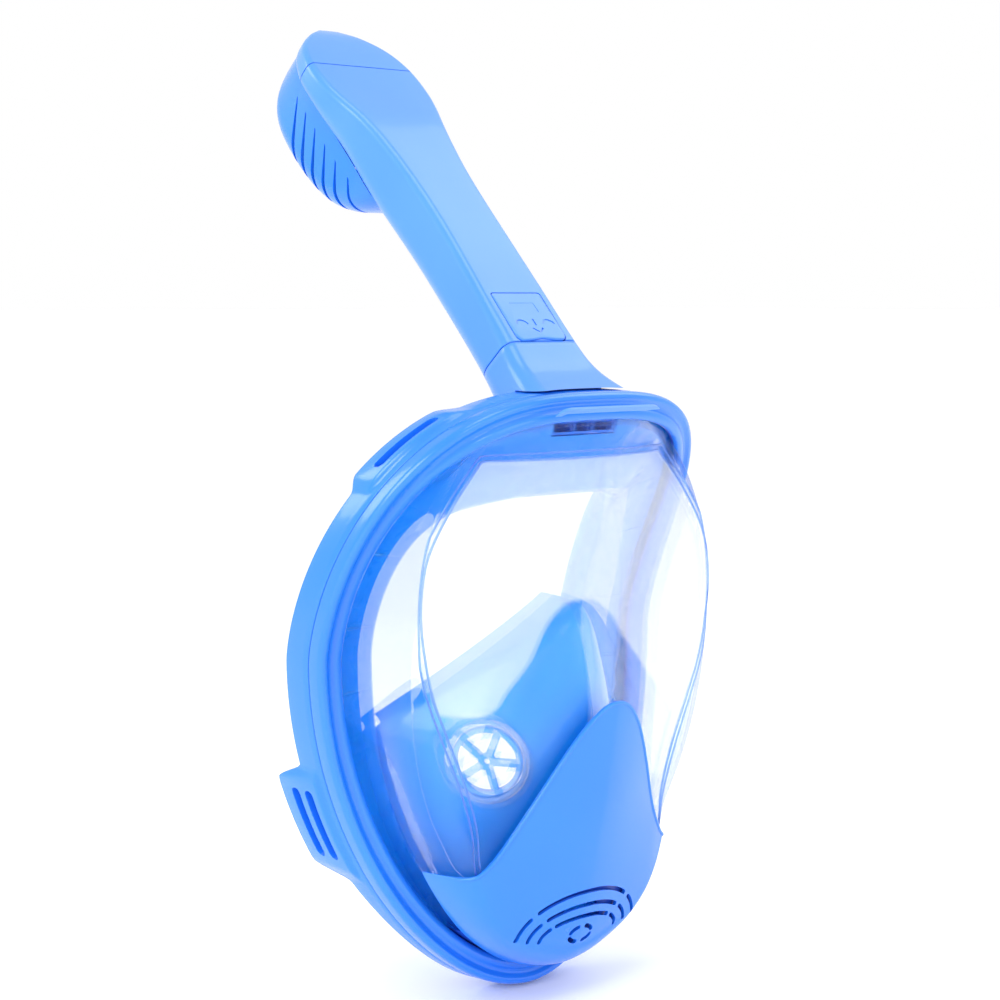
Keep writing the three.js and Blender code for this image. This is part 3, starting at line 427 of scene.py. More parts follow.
def clear_plastic(name, tint, alpha, haze=0.0, ior=1.3):
    """Polished clear plastic with faint flow marks; haze is a milky film."""
    material, tree, shader = new_material(name)
    tone = ramp(tree, noise(tree, 18.0, 2.0), [(0.2, tint), (0.8, tuple(mix(c, 1.0, 0.35) for c in tint))])
    tree.links.new(tone, shader.inputs["Base Color"])
    tree.links.new(spread(tree, noise(tree, 140.0, 3.0), 0.0, 0.05), shader.inputs["Roughness"])
    bump(tree, shader, noise(tree, 40.0, 1.0), 0.02)
    set_inputs(shader, {
        "IOR": ior, "Transmission Weight": 1.0 - haze, "Alpha": alpha, "Coat Weight": 0.5,
        "Coat Roughness": 0.02,
    })
    return material


def steel_material():
    material, tree, shader = new_material("steel")
    grain = (1, 0.1, 1)  # drawn out along Y
    tone = ramp(tree, noise(tree, 300.0, 3.0, 0.6, grain),
                [(0.2, (0.5, 0.52, 0.55)), (0.8, (0.75, 0.77, 0.8))])
    tree.links.new(tone, shader.inputs["Base Color"])
    tree.links.new(spread(tree, noise(tree, 200.0), 0.2, 0.4), shader.inputs["Roughness"])
    shader.inputs["Metallic"].default_value = 1.0
    bump(tree, shader, noise(tree, 900.0, 2.0, 0.5, grain), 0.1)
    return material


def foam_material():
    material, tree, shader = new_material("foam")
    cells = node(tree, "ShaderNodeTexVoronoi", Scale=700.0)
    where = node(tree, "ShaderNodeTexCoord")
    tree.links.new(where.outputs["Object"], cells.inputs["Vector"])
    tone = ramp(tree, cells.outputs["Distance"], [(0.0, (0.92, 0.93, 0.95)), (0.6, (0.8, 0.82, 0.85))])
    tree.links.new(tone, shader.inputs["Base Color"])
    shader.inputs["Roughness"].default_value = 0.7
    bump(tree, shader, cells.outputs["Distance"], 0.3)
    return material


SHELL = plastic("shell_plastic", (0.012, 0.19, 0.84), (0.02, 0.225, 0.92), coat=0.3)
TUBE = plastic("tube_plastic", (0.05, 0.24, 0.86), (0.07, 0.275, 0.92), (0.28, 0.36), 0.3)
SILICONE = silicone("skirt_silicone", (0.004, 0.25, 0.88), (0.012, 0.31, 0.95))
POCKET = silicone("pocket_silicone", (0.01, 0.27, 0.88), (0.03, 0.34, 0.97), (0.08, 0.14), 0.1)
RUBBER = silicone("seal_rubber", (0.002, 0.03, 0.4), (0.004, 0.05, 0.55), (0.4, 0.55), 0.0)
SEAT = plastic("seat_plastic", (0.06, 0.32, 0.92), (0.1, 0.38, 1.0))
COLLAR = clear_plastic("collar_plastic", (0.75, 0.88, 1.0), 0.6, 0.35)
DUCT = plastic("duct_plastic", (0.005, 0.17, 0.8), (0.01, 0.22, 0.9))
FLAP = clear_plastic("flap_silicone", (0.9, 0.96, 1.0), 0.3, 0.4)
# Dark navy painted shade: laid on the window behind the vents to stand in for the shadow inside them.
PAINTED_SHADE = silicone("vent_painted_shade", (0.002, 0.05, 0.42), (0.004, 0.07, 0.5), (0.4, 0.55), 0.0)
BEAD = clear_plastic("fold_bead", (0.12, 0.42, 1.0), 0.85, 0.15)


def wall_material():
    """Clear plastic whose blue tint deepens where it is seen edge on."""
    material = clear_plastic("window_wall", (0.6, 0.78, 1.0), 0.4, ior=1.22)
    tree = material.node_tree
    shader = tree.nodes["Principled BSDF"]
    facing = node(tree, "ShaderNodeLayerWeight", Blend=0.35)
    tone = ramp(tree, facing.outputs["Facing"], [(0.3, (0.72, 0.86, 1.0)), (0.9, (0.02, 0.3, 1.0))])
    tree.links.new(tone, shader.inputs["Base Color"])
    return material


def panel_material(line):
    """Clear plastic with a painted reflection: a pale film over the part above a line given as (x, z) in
    millimetres.
    """
    material = clear_plastic("window_panel", (0.96, 0.985, 1.0), 0.4)
    tree = material.node_tree
    shader = tree.nodes["Principled BSDF"]
    where = node(tree, "ShaderNodeTexCoord")
    axes = node(tree, "ShaderNodeSeparateXYZ")
    tree.links.new(where.outputs["Object"], axes.inputs[0])

    def spot(source, low, high):
        made = node(tree, "ShaderNodeMapRange")
        set_inputs(made, {
            "From Min": low, "From Max": high,
        })
        tree.links.new(source, made.inputs["Value"])
        return made.outputs["Result"]

    across = spot(axes.outputs["X"], -0.09, 0.09)
    curve = node(tree, "ShaderNodeFloatCurve")
    points = curve.mapping.curves[0].points
    while len(points) < len(line):
        points.new(0.5, 0.5)
    for point, (x, z) in zip(points, line):
        point.location = ((x + 90) / 180, (z + 90) / 180)
        point.handle_type = "AUTO"
    curve.mapping.update()
    tree.links.new(across, curve.inputs["Value"])
    gap = node(tree, "ShaderNodeMath", operation="SUBTRACT")
    tree.links.new(spot(axes.outputs["Z"], -0.09, 0.09), gap.inputs[0])
    tree.links.new(curve.outputs["Value"], gap.inputs[1])
    # The pale film is a painted reflection: it stands in for the white the panel reflects at grazing
    # angles, above a line that follows the pocket's outline seen from the front left.
    painted_reflection = node(tree, "ShaderNodeMapRange")
    painted_reflection.interpolation_type = "SMOOTHSTEP"
    set_inputs(painted_reflection, {
        "From Min": -0.004, "From Max": 0.012,
    })
    tree.links.new(gap.outputs[0], painted_reflection.inputs["Value"])
    tree.links.new(spread(tree, painted_reflection.outputs["Result"], 1.0, 0.45), shader.inputs["Transmission Weight"])
    tree.links.new(spread(tree, painted_reflection.outputs["Result"], 0.3, 0.38), shader.inputs["Alpha"])
    return material


WALL_CLEAR = wall_material()
# Painted reflection: the pale film sits above the pocket's outline as seen from the front left.
PANEL = panel_material([
    (-88, 10), (-62, 2), (-52, 3), (-46, 12), (-39, 22.5), (-32, 36.6), (-26, 43), (-17, 45.5),
    (-8, 44), (7, 26.4), (31, 5.6), (48, -7), (58, -22.6), (72, -45),
])
STEEL = steel_material()
FOAM = foam_material()


# --- bezel, gasket, frame
def finish_piece(obj, body, slot, *nodes):
    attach(obj, body)
    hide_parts(*nodes)
    return obj


bezel_profile = [
    (-BEZEL_OUT, BEZEL_BACK), (-BEZEL_OUT, 2.2), (-1.4, 0.3), (0.4, -0.1), (2.3, 1.7), (3.8, 1.7),
    (5.2, 0.3), (7.2, 0.1), (BEZEL_LIP, 1.4), (BEZEL_LIP, BEZEL_CAP),
    (FLANGE_OUTER - GAP, BEZEL_CAP), (FLANGE_OUTER - GAP, BEZEL_BACK),
]
bezel_cut = [0.5, 1.2, 1.0, 1.2, 0.9, 0.7, 0.8, 1.1, 0.9, 0.3, 0.2, 0.2]
bezel = build("bezel_ring", *rim_ring(bezel_profile, bezel_cut), SHELL, 50)
finish_piece(bezel, "mask", "shell", "front_bezel")

gasket_profile = [
    (FLANGE_OUTER + 2 * GAP, GASKET_FRONT), (BEZEL_LIP - GAP, GASKET_FRONT),
    (BEZEL_LIP - GAP, GASKET_FRONT + GASKET), (FLANGE_OUTER + 2 * GAP, GASKET_FRONT + GASKET),
]
gasket = build("window_gasket", *rim_ring(gasket_profile, 0.25, 3), RUBBER, 50)
finish_piece(gasket, "mask", "gasket", "lens_gasket")

LOWER_EAR = {"from": 117.0, "to": 143.0, "depth": 38.0, "slots": [17.0, 25.6]}
UPPER_EAR = {"from": 27.0, "to": 50.0, "depth": 27.0, "slots": [16.0]}
EARS = [LOWER_EAR, UPPER_EAR]
SLOT_WIDTH, SLOT_END = 5.0, 5.0
EAR_RAMP = 4.5  # degrees over which an ear rises from the wall


def ear_share(angle, ear, soft=EAR_RAMP):
    degrees = abs((math.degrees(angle) + 180) % 360 - 180)
    return (smooth(ear["from"] - 1, ear["from"] - 1 + soft, degrees)
            * (1 - smooth(ear["to"] + 1 - soft, ear["to"] + 1, degrees)))


def wall_profile(angle):
    depth = mix(WALL_DEPTH, CHIN_WALL_DEPTH, smooth(0.75, 0.98, clamp(-math.cos(angle))))
    out = 0.0
    for ear in EARS:
        share = ear_share(angle, ear)
        depth = mix(depth, ear["depth"], share)
        out = max(out, share)
    line = WALL_INSET + 0.3
    top = mix(line, EAR_OUT, out)
    end = mix(WALL_INSET, EAR_OUT, out)
    knee = min(21.0, depth - 0.6)
    return [
        (-BEZEL_OUT, BEZEL_BACK + GAP), (line, EAR_FRONT - 1.5), (top, EAR_FRONT + 0.5), (end, depth),
        (end + WALL, depth), (mix(WALL_INSET, EAR_OUT, out) + WALL, knee), (0.4, FRAME_BACK),
        (BEZEL_LIP, FRAME_BACK), (BEZEL_LIP, FRAME_FRONT), (FLANGE_OUTER - GAP, FRAME_FRONT),
        (FLANGE_OUTER - GAP, BEZEL_BACK + GAP),
    ]


wall_cut = [0.5, 1.0, 1.0, 0.9, 0.9, 2.0, 1.5, 0.5, 0.4, 0.2, 0.3]
ear_angles = sorted(set(
    [round(a, 6) for a in ANGLES]
    + [round(math.radians((s * (e[k] + d)) % 360), 6)
       for e in EARS for s in (1, -1) for k, sign in (("from", 1), ("to", -1))
       for d in [sign * (i * 0.45 - 1) for i in range(10)]]
))
frame_shell = build("rear_frame_shell", *rim_ring(wall_profile, wall_cut, 3, ear_angles), SHELL, 38)


def slot_tool(side, ear, front):
    """Cutter with round ends that follows the ear."""
    low, high = ear["from"] + SLOT_END, ear["to"] - SLOT_END
    half, middle = SLOT_WIDTH / 2, front + SLOT_WIDTH / 2
    per_degree = (rim(math.radians(low)) - rim(math.radians(high))).length / (high - low)
    outline = []
    for k in range(15):
        a = math.pi * k / 14
        degrees = high - half / per_degree + half * math.sin(a) / per_degree
        outline.append((degrees, middle - half * math.cos(a)))
    steps = 12
    for k in range(1, steps):
        t = k / steps
        outline.append((mix(high - half / per_degree, low + half / per_degree, t), middle + half))
    for k in range(15):
        a = math.pi * k / 14
        degrees = low + half / per_degree - half * math.sin(a) / per_degree
        outline.append((degrees, middle + half * math.cos(a)))
    for k in range(1, steps):
        t = k / steps
        outline.append((mix(low + half / per_degree, high - half / per_degree, t), middle - half))
    loops = [[rim(side * math.radians(d), inset, h) for d, h in outline]
             for inset in (EAR_OUT - 3, EAR_OUT + WALL + 4)]
    return build("slot_tool", *capped_loft(loops))


tools = [slot_tool(s, e, f) for s in (1, -1) for e in EARS for f in e["slots"]]
SCREW_ANGLES = [s * math.radians(a) for s in (1, -1) for a in (60, 100, 155)]
SCREW_INSET = 2.6
for angle in SCREW_ANGLES:
    tools.append(build("screw_seat", *rod(rim(angle, SCREW_INSET, FRAME_BACK), (0, 1, 0), 2.2, 6, 40)))
port_tool = rounded_box("port_tool", (34.6, 5.4, 16), Matrix.Translation(
    (0, CROWN.y + (PORT["front"] + PORT["back"]) / 2, CROWN.z + 4)), SHELL, 0.8)
carve(frame_shell, tools + [port_tool], sharp=38)
finish_piece(frame_shell, "mask", "shell", "rear_frame")


# --- skirt
WEB_DROP_TOP, WEB_DROP_SIDE, WEB_DROP_CHIN = 14.0, 1.4, 4.0


def opening_inset(angle):
    return around(angle, 40.0, 32.0, 19.0)


def web_front(angle):
    """Depth of the skirt's front face beside the opening."""
    return SKIRT_FRONT + around(angle, WEB_DROP_TOP, WEB_DROP_SIDE, WEB_DROP_CHIN)


def skirt_profile(angle):
    edge, t = opening_inset(angle), SKIRT
    front = web_front(angle)
    lip = around(angle, 38.0, 30.0, 30.0)
    return [
        (FLANGE_OUTER, SKIRT_FRONT), (BEZEL_LIP + 1, SKIRT_FRONT),
        (mix(BEZEL_LIP + 1, edge - 3, 0.5), mix(SKIRT_FRONT, front, 0.42)),
        (edge - 2, front), (edge, front + 2.6), (edge, lip - 7), (edge - 4, lip - 1), (9, lip - 3.5),
        (9, lip - 3.5 - t), (edge - 5, lip - t - 1), (edge - t, lip - 8),
        (edge - t, front + 3.4), (edge - 3.6, front + t),
        (BEZEL_LIP + 1, SKIRT_BACK), (FLANGE_OUTER, SKIRT_BACK),
    ]


skirt_cut = [0.3, 1.5, 3.0, 1.6, 1.6, 3.0, 3.0, 0.8, 0.8, 2.0, 2.5, 1.0, 1.5, 1.5, 0.3]
skirt = build("face_skirt_soft", *rim_ring(skirt_profile, skirt_cut), SILICONE, 60)
window_tool = rounded_box("port_window", (34.6, 16.6, 6.2), Matrix.Translation(
    (0, CROWN.y + 13.3, CROWN.z - 11.9)), SILICONE, 0.6)
carve(skirt, [window_tool], sharp=60)
ribs = []
for side in (1, -1):
    for degrees in (82.0, 62.0, 100.0):
        angle = side * math.radians(degrees)
        edge = opening_inset(angle)
        path = []
        for k in range(9):
            t = k / 8
            front = mix(SKIRT_FRONT, web_front(angle), t)
            path.append(rim(angle, mix(BEZEL_LIP + 3, edge - 4, t), front + 0.2))
        ribs.append(build("rib", *tube_along(path, 0.7), SILICONE))
skirt = join("face_skirt_soft", [skirt] + ribs)
finish_piece(skirt, "mask", "silicone", "face_skirt")

# --- window
fold_half = curve_through([
    (-99, 0.5), (-97, 12), (-90, 30), (-77, 43), (-60, 50), (-43, 52), (-25, 58), (-5, 67),
    (11, 74), (27, 78), (46, 80), (65, 76.5), (83, 65), (101, 49),
])
bulge = curve_through([
    (-99, 0), (-94, 2.5), (-77, 7.5), (-58, 12), (-36, 17), (-11, 21.5), (4, 24), (30, 25),
    (60, 21), (80, 16), (101, 11),
])


def front_y(x, z):
    share = min(abs(x) / fold_half(z), 1)
    return FOLD_Y - bulge(z) * (1 - share ** mix(1.5, 1.9, smooth(0, 60, z)))


def fold_radius(angle):
    low, high = 0.0, 160.0
    for _ in range(30):
        r = (low + high) / 2
        z, x = DOME_Z + r * math.cos(angle), abs(r * math.sin(angle))
        if z < PANEL_TOP and z > -99 and x < fold_half(z):
            low = r
        else:
            high = r
    return low


DOME_INSET = BEZEL_LIP + 0.5
WALL_ROWS, FRONT_ROWS = 16, 20


def dome_rows():
    rows = [[] for _ in range(WALL_ROWS + FRONT_ROWS)]
    for angle in ANGLES:
        seat = rim(angle, DOME_INSET, LENS_FRONT)
        bearing = math.atan2(seat.x, seat.z - DOME_Z)
        r = fold_radius(bearing)
        fx, fz = r * math.sin(bearing), DOME_Z + r * math.cos(bearing)
        fold = Vector((fx, front_y(fx, fz), fz))
        power = mix(2.1, 6, smooth(-55, 10, fz))
        for k in range(WALL_ROWS):
            turn = (k / WALL_ROWS) ** 0.9 * math.pi / 2
            inward = 1 - math.cos(turn) ** (2 / power)
            forward = math.sin(turn) ** (2 / power) if fold.y < seat.y else inward
            rows[k].append(Vector((
                mix(seat.x, fx, inward), mix(seat.y, fold.y, forward), mix(seat.z, fz, inward))))
        for k in range(FRONT_ROWS):
            t = (k / FRONT_ROWS) ** 1.25
            x, z = fx * (1 - t), mix(fz, DOME_Z, t)
            rows[WALL_ROWS + k].append(Vector((x, front_y(x, z), z)))
    return rows


DOME = dome_rows()
DOME_TIP = Vector((0, front_y(0, DOME_Z), DOME_Z))
DRAIN_AXIS = Vector((0, -0.87, -0.5)).normalized()
DRAIN = Vector((0, front_y(0, -91.0), -91.0))
DRAIN_RADIUS = 12.0


def dome_shell(outer, inner, base):
    return pole_loft(
        DOME_TIP - Vector((0, outer, 0)),
        list(reversed(offset_grid(DOME, outer, True))) + base + offset_grid(DOME, inner, True),
        DOME_TIP - Vector((0, inner, 0)),
    )


flange = [[rim(a, inset, depth) for a in ANGLES] for inset, depth in (
    (DOME_INSET - 0.8, LENS_FRONT), (FLANGE_OUTER + 0.3, LENS_FRONT), (FLANGE_OUTER, LENS_FRONT + 0.3),
    (FLANGE_OUTER, LENS_BACK - 0.3), (FLANGE_OUTER + 0.3, LENS_BACK), (DOME_INSET + LENS, LENS_BACK))]
window = build("window_shell", *dome_shell(0, -LENS, flange), WALL_CLEAR, 70)
drain_tool = build("drain_tool", *rod(DRAIN - DRAIN_AXIS * 28, DRAIN_AXIS, DRAIN_RADIUS + GAP, 40))
carve(window, [drain_tool], sharp=70)
window.data.materials.append(PANEL)
window.data.materials.append(PAINTED_SHADE)


for face in window.data.polygons:
    c = face.center / MM
    inside = c.z < PANEL_TOP - 0.8 and c.z > -98 and abs(c.x) < fold_half(c.z) - 0.6
    if inside and c.y < front_y(c.x, c.z) + 4:
        face.material_index = 1
    # Painted shade: the window's outward faces behind the vents take the dark navy material, standing in
    # for the shadow inside the vents.
    painted_behind_vents = math.hypot(c.x / 38, (c.z + 94) / 24) < 1
    if face.normal.y < 0 and painted_behind_vents:
        face.material_index = 2


def fold_bead(name, row, radius):
    """Rounded ridge that follows one row of the window all the way round."""
    path = [p for p, q in zip(row, row[1:] + row[:1]) if (p - q).length > 0.15]
    sections = []
    for p in path:
        away = Vector((p.x, 0, p.z - DOME_Z)).normalized()
        sections.append([p + away * (radius * math.cos(a)) + Vector((0, radius * math.sin(a), 0))
                         for a in turns(10)])
    bead = build(name, *ring_loft(sections), BEAD, 60)
    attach(bead, "mask")


fold_bead("fold_bead_front", DOME[WALL_ROWS], 0.5)
BEAD_APART = 2.6
rear_row = [a.lerp(b, BEAD_APART / max(BEAD_APART, (a - b).length))
            for a, b in zip(DOME[WALL_ROWS], DOME[WALL_ROWS - 4])]
fold_bead("fold_bead_rear", rear_row, 0.45)
finish_piece(window, "mask", "clear", "lens")


# --- chin cover
def lip_height(x):
    t = clamp(abs(x) / 56.0)
    return mix(-63.0, 4.7, (0.5 * (1 + math.cos(math.pi * t))) ** 0.9)


COVER_FOOT = 4  # rows of the wall that stay uncovered beside the rim
NEAR = GAP + 0.55
FAR = NEAR + 1.7


def extrude_forward(outline, from_y, to_y):
    return capped_loft([[Vector((x, y, z)) for x, z in outline] for y in (from_y, to_y)])


cover_rows = [DOME[k] for k in range(COVER_FOOT, WALL_ROWS + FRONT_ROWS)]


def cover_part(offset):
    return offset_grid(cover_rows, offset, True)


inner_rows = cover_part(NEAR)
outer_rows = [[a.lerp(b, mix(1.0, 0.4, smooth(40, 58, abs(a.x)))) for a, b in zip(*rows)]
              for rows in zip(inner_rows, cover_part(FAR))]
rounded_foot = [
    [mix(a, b, t) + (a - cover_rows[1][j]).normalized() * 0.4
     for j, (a, b) in enumerate(zip(outer_rows[0], inner_rows[0]))]
    for t in (0.25, 0.75)
]
cover = build("chin_cover_shell", *pole_loft(
    DOME_TIP - Vector((0, FAR, 0)), list(reversed(outer_rows)) + rounded_foot + inner_rows,
    DOME_TIP - Vector((0, NEAR, 0))), SHELL, 50)
lip_points = [(mix(-80, 80, k / 160), lip_height(mix(-80, 80, k / 160))) for k in range(161)]
outline = lip_points + [(80, -150), (-80, -150)]
carve(cover, [build("cover_outline", *extrude_forward(outline, 0, -154))], "INTERSECT", 50)
surface = BVHTree.FromObject(cover, bpy.context.evaluated_depsgraph_get())


def on_cover(x, z):
    hit = surface.ray_cast(Vector((x, -200, z)) * MM, Vector((0, 1, 0)))[0]
    return hit / MM if hit else None


VENT_Z = -94.0
VENTS = [
    (33, 19, ((8, 34), (44, 136), (146, 172))), (27, 13, ((5, 35), (46, 134), (145, 175))),
    (21, 8, ((0, 36), (48, 132), (144, 180))),
    (6, 3.4, ((20, 70), (110, 160), (200, 250), (290, 340))),
]


def vent_tool(rx, rz, start, end):
    """Curved slot of even width with round ends, seen from the front."""
    count = max(4, int(abs(end - start) / 5))
    mid = [Vector((rx * math.cos(math.radians(a)), VENT_Z + rz * math.sin(math.radians(a))))
           for a in [mix(start, end, k / count) for k in range(count + 1)]]
    left, right, half = [], [], 0.95
    for k, p in enumerate(mid):
        run = (mid[min(k + 1, count)] - mid[max(k - 1, 0)]).normalized()
        side = Vector((-run.y, run.x)) * half
        left.append(p + side)
        right.append(p - side)
    first = (mid[0] - mid[1]).normalized() * half
    last = (mid[-1] - mid[-2]).normalized() * half
    ends = []
    for p, out, a in ((mid[-1], last, left[-1]), (mid[0], first, right[0])):
        half_turn = [math.pi * k / 8 for k in range(1, 8)]
        ends.append([p + (a - p) * math.cos(t) + out * math.sin(t) for t in half_turn])
    return extrude_forward(left + ends[0] + list(reversed(right)) + ends[1], -20, -134)


vents = [build("vent", *vent_tool(rx, rz, a, b)) for rx, rz, spans in VENTS for a, b in spans]
carve(cover, vents, sharp=50)
bead_path = []
for k in range(181):
    x = mix(-57, 57, k / 180)
    point = on_cover(x, lip_height(x) - 0.5)
    if point:
        bead_path.append(point + Vector((0, 0.3, 0)))
bead = build("lip_bead", *tube_along(bead_path, 0.8, 12), SHELL)
cover = join("chin_cover_shell", [cover, bead])
finish_piece(cover, "mask", "shell", "chin_cover")

# --- nose and mouth pocket
POCKET_SIDE = math.radians(113)
PEAK, SHOULDER, PEAK_Y, POCKET_FORWARD, POCKET_WALL = 41.0, -8.0, -81.0, 24.0, 1.8


def pocket_foot(across):
    angle = math.pi - across * (math.pi - POCKET_SIDE)
    return rim(angle, opening_inset(angle) + GAP + 0.2, web_front(angle) + 4)


POCKET_END = [pocket_foot(-1), pocket_foot(1)]


def pocket_ridge(across):
    end = POCKET_END[1 if across >= 0 else 0]
    share = abs(across)
    return Vector((
        abs(end.x) * across, mix(PEAK_Y, end.y - 4, share ** 1.3), mix(PEAK, SHOULDER, share ** 1.1)))


def pocket_point(across, down):
    swell = POCKET_FORWARD * (1 - across * across) * math.sin(math.pi * clamp(down)) ** 0.9
    return pocket_ridge(across).lerp(pocket_foot(across), down) - Vector((0, swell, 0))


def pocket_roof(across, back):
    p = pocket_ridge(across)
    return p + Vector((0, (22 * (1 - abs(across)) + 4) * back, 3 * math.sin(back * math.pi / 2)))


def pocket_normal(across, down):
    step = 0.02
    side = pocket_point(across + step, down) - pocket_point(across - step, down)
    fall = pocket_point(across, down + step) - pocket_point(across, down - step)
    return fall.cross(side).normalized()


def pocket_column(across):
    """From the rear edge of the roof over a rounded ridge down to the foot."""
    blend = 0.05
    back = 0.16
    line = [pocket_roof(across, mix(1, back, k / 7)) for k in range(8)]
    a, b, c = line[-1], pocket_ridge(across), pocket_point(across, blend)
    line += [a * (1 - t) ** 2 + b * (2 * t * (1 - t)) + c * t * t for t in [k / 6 for k in range(1, 6)]]
    line += [pocket_point(across, mix(blend, 1, (k / 44) ** 1.1)) for k in range(45)]
    return line


def pocket_shell():
    columns = [mix(-1, 1, k / 120) for k in range(121)]
    grid = [list(row) for row in zip(*[pocket_column(a) for a in columns])]
    inner = offset_grid(grid, -POCKET_WALL, False)
    sections = [[row[j] for row in grid] + [row[j] for row in reversed(inner)] for j in range(len(columns))]
    return capped_loft(sections)


def valve_place(side):
    across = side * 0.48
    return pocket_point(across, 0.47), pocket_normal(across, 0.47)


INTAKE_RADIUS = 14.6
pocket = build("nose_pocket_soft", *pocket_shell(), POCKET, 50)
pocket_tools = [build("drain_bore", *rod(DRAIN - DRAIN_AXIS * 36, DRAIN_AXIS, DRAIN_RADIUS + GAP, 30))]
for side in (-1, 1):
    centre, normal = valve_place(side)
    pocket_tools.append(build("valve_bore", *rod(centre - normal * 9, normal, INTAKE_RADIUS + GAP, 18)))
carve(pocket, pocket_tools, sharp=50)
finish_piece(pocket, "mask", "silicone", "nose_pocket")


# --- valves and ducts
def frame_at(centre, axis, spin=0.0):
    turn = Vector((0, 0, 1)).rotation_difference(Vector(axis).normalized()).to_matrix().to_4x4()
    return Matrix.Translation(centre) @ turn @ Matrix.Rotation(spin, 4, "Z")


def wheel(name, centre, axis, profile, spokes, level, material):
    """Valve seat: a ring, straight spokes and a hub with a hole."""
    parts = [build(name, *lathe(profile, centre, axis), material, 50)]
    inner = min(p[0] for p in profile)
    for k in range(spokes):
        spin = k / spokes * math.tau + math.pi / 2
        place = frame_at(centre, axis, spin) @ Matrix.Translation(((inner + 2.8) / 2, 0, level))
        parts.append(rounded_box("spoke", (inner - 2.0, 3.2, 2.0), place, material, 0.6))
    hub = [(1.3, level - 1.1), (3.5, level - 1.1), (3.5, level + 1.4), (1.3, level + 1.4)]
    parts.append(build("hub", *lathe(hub, centre, axis, 40, 0.5), material, 50))
    return join(name, parts)


def disc(name, centre, axis, radius, thick, material):
    """Thin round flap with a rounded rim."""
    flap = build(name, *capped_loft(
        [[frame_at(centre, axis) @ Vector((r * math.cos(a), r * math.sin(a), h))
          for a in turns(64)]
         for r, h in ((radius - 0.3, 0), (radius, 0.2), (radius, thick - 0.2), (radius - 0.3, thick),
                      (radius * 0.5, thick), (radius * 0.2, thick))]), material, 50)
    return flap


for side, word in ((-1, "left"), (1, "right")):
    centre, normal = valve_place(side)
    profile = [(12.2, -2.6), (14.6, -2.6), (14.6, 0.8), (13.9, 2.0), (12.2, 2.0)]
    seat = wheel(f"intake_wheel_{word}", centre, normal, profile, 5, 0.0, SEAT)
    collar_profile = [(14.9, 0.5), (17.4, 0.2), (17.4, 1.2), (16.2, 2.1), (14.9, 2.3)]
    collar_shape = lathe(collar_profile, centre, normal, 80, 0.35)
    collar = build(f"intake_collar_{word}", *collar_shape, COLLAR, 50)
    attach(collar, "mask")
    finish_piece(seat, "mask", "seat", f"intake_seat_{word}")
    flap = disc(f"intake_disc_{word}", centre - normal * (1 + GAP + 0.8), normal, 11.7, 0.8, FLAP)
    finish_piece(flap, f"intake_flap_{word}", "clear", f"intake_flap_{word}")

MOUTH = DRAIN - DRAIN_AXIS * 3.8
drain_profile = [(10.4, -24.6), (12.0, -24.6), (12.0, 0.0), (10.4, 0.0)]
drain_level = -(1 + GAP + 0.8 + 2 + 0.4)
drain = wheel("drain_tube", MOUTH, DRAIN_AXIS, drain_profile, 4, drain_level, DUCT)
finish_piece(drain, "mask", "seat", "drain_duct")
drain_seat = MOUTH + DRAIN_AXIS * (drain_level + 1 + GAP)
drain_flap = disc("drain_disc", drain_seat, DRAIN_AXIS, 9.5, 0.8, SILICONE)
finish_piece(drain_flap, "drain_flap", "silicone", "drain_flap")


def soften(name, material, cut=0.35, sharp=40):
    """A CAD node that stays: rounded edges and a material of its own."""
    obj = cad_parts[name]
    obj.data.materials.clear()
    obj.data.materials.append(material)
    edge = obj.modifiers.new("round", "BEVEL")
    edge.width = cut * MM
    edge.segments = 3
    edge.limit_method = "ANGLE"
    edge.angle_limit = math.radians(sharp)
    edge.use_clamp_overlap = True
    obj.data.polygons.foreach_set("use_smooth", [True] * len(obj.data.polygons))
    obj.data.set_sharp_from_angle(angle=math.radians(sharp))


soften("port_duct", DUCT, 0.3)
soften("port_flap_left", SILICONE, 0.2)
soften("port_flap_right", SILICONE, 0.2)

for k, angle in enumerate(SCREW_ANGLES):
    centre = rim(angle, SCREW_INSET, FRAME_BACK + GAP)
    axis = Vector((0, 1, 0))
    head = [(0.6, 0.0), (1.9, 0.0), (1.9, 0.8), (1.3, 1.35), (0.6, 0.7)]
    parts = [build("head", *lathe(head, centre, axis, 32, 0.25), STEEL, 50),
             build("shank", *rod(centre + axis * 0.7, (0, -1, 0), 1.1, 6.6, 24, 0.2), STEEL, 50)]
    finish_piece(join(f"screw_{k + 1}", parts), "mask", "steel", f"bezel_screw_{k + 1}")

# --- snorkel
SNORKEL_TILT = math.radians(-42)
SEAM = Vector((0, CROWN.y + 42.9, CROWN.z + 12.6))
SNORKEL = Matrix.Translation(SEAM) @ Matrix.Rotation(SNORKEL_TILT, 4, "X")
TUBE_WALL, TUBE_LENGTH, CAP_HEIGHT = 2.0, 166.0, 31.0
TUBE_FOOT, SOCKET_LOW, BASE_WALL = -46, -14, 2.6
tube_half = curve_through([
    (-45, 30), (-37, 28), (-29, 26.5), (-17, 23), (0, 20.5), (29, 18.8), (68, 17.6), (95, 18.4),
    (114, 20.6), (128, 23.4), (140, 27), (150, 29.2), (164, 29.4), (174, 27), (182, 22.5), (190, 14),
    (196, 5),
])
tube_front = curve_through([
    (-45, -27), (-37, -22.5), (-24, -17.2), (-12, -14.4), (0, -14), (60, -14),
    (95, -13), (128, -11.5), (150, -8.5), (166, -6.5), (180, -4.5), (190, -2.5), (196, 0),
])
tube_rear = curve_through([
    (-45, 11), (0, 11), (55, 13.5), (95, 15.5), (112, 14.5), (132, 11), (150, 7.5), (166, 7),
    (180, 6.5), (190, 4.5), (196, 2),
])
front_corner = curve_through([(-45, 8), (0, 5), (30, 3.6), (140, 3.4), (166, 3), (196, 1.5)])


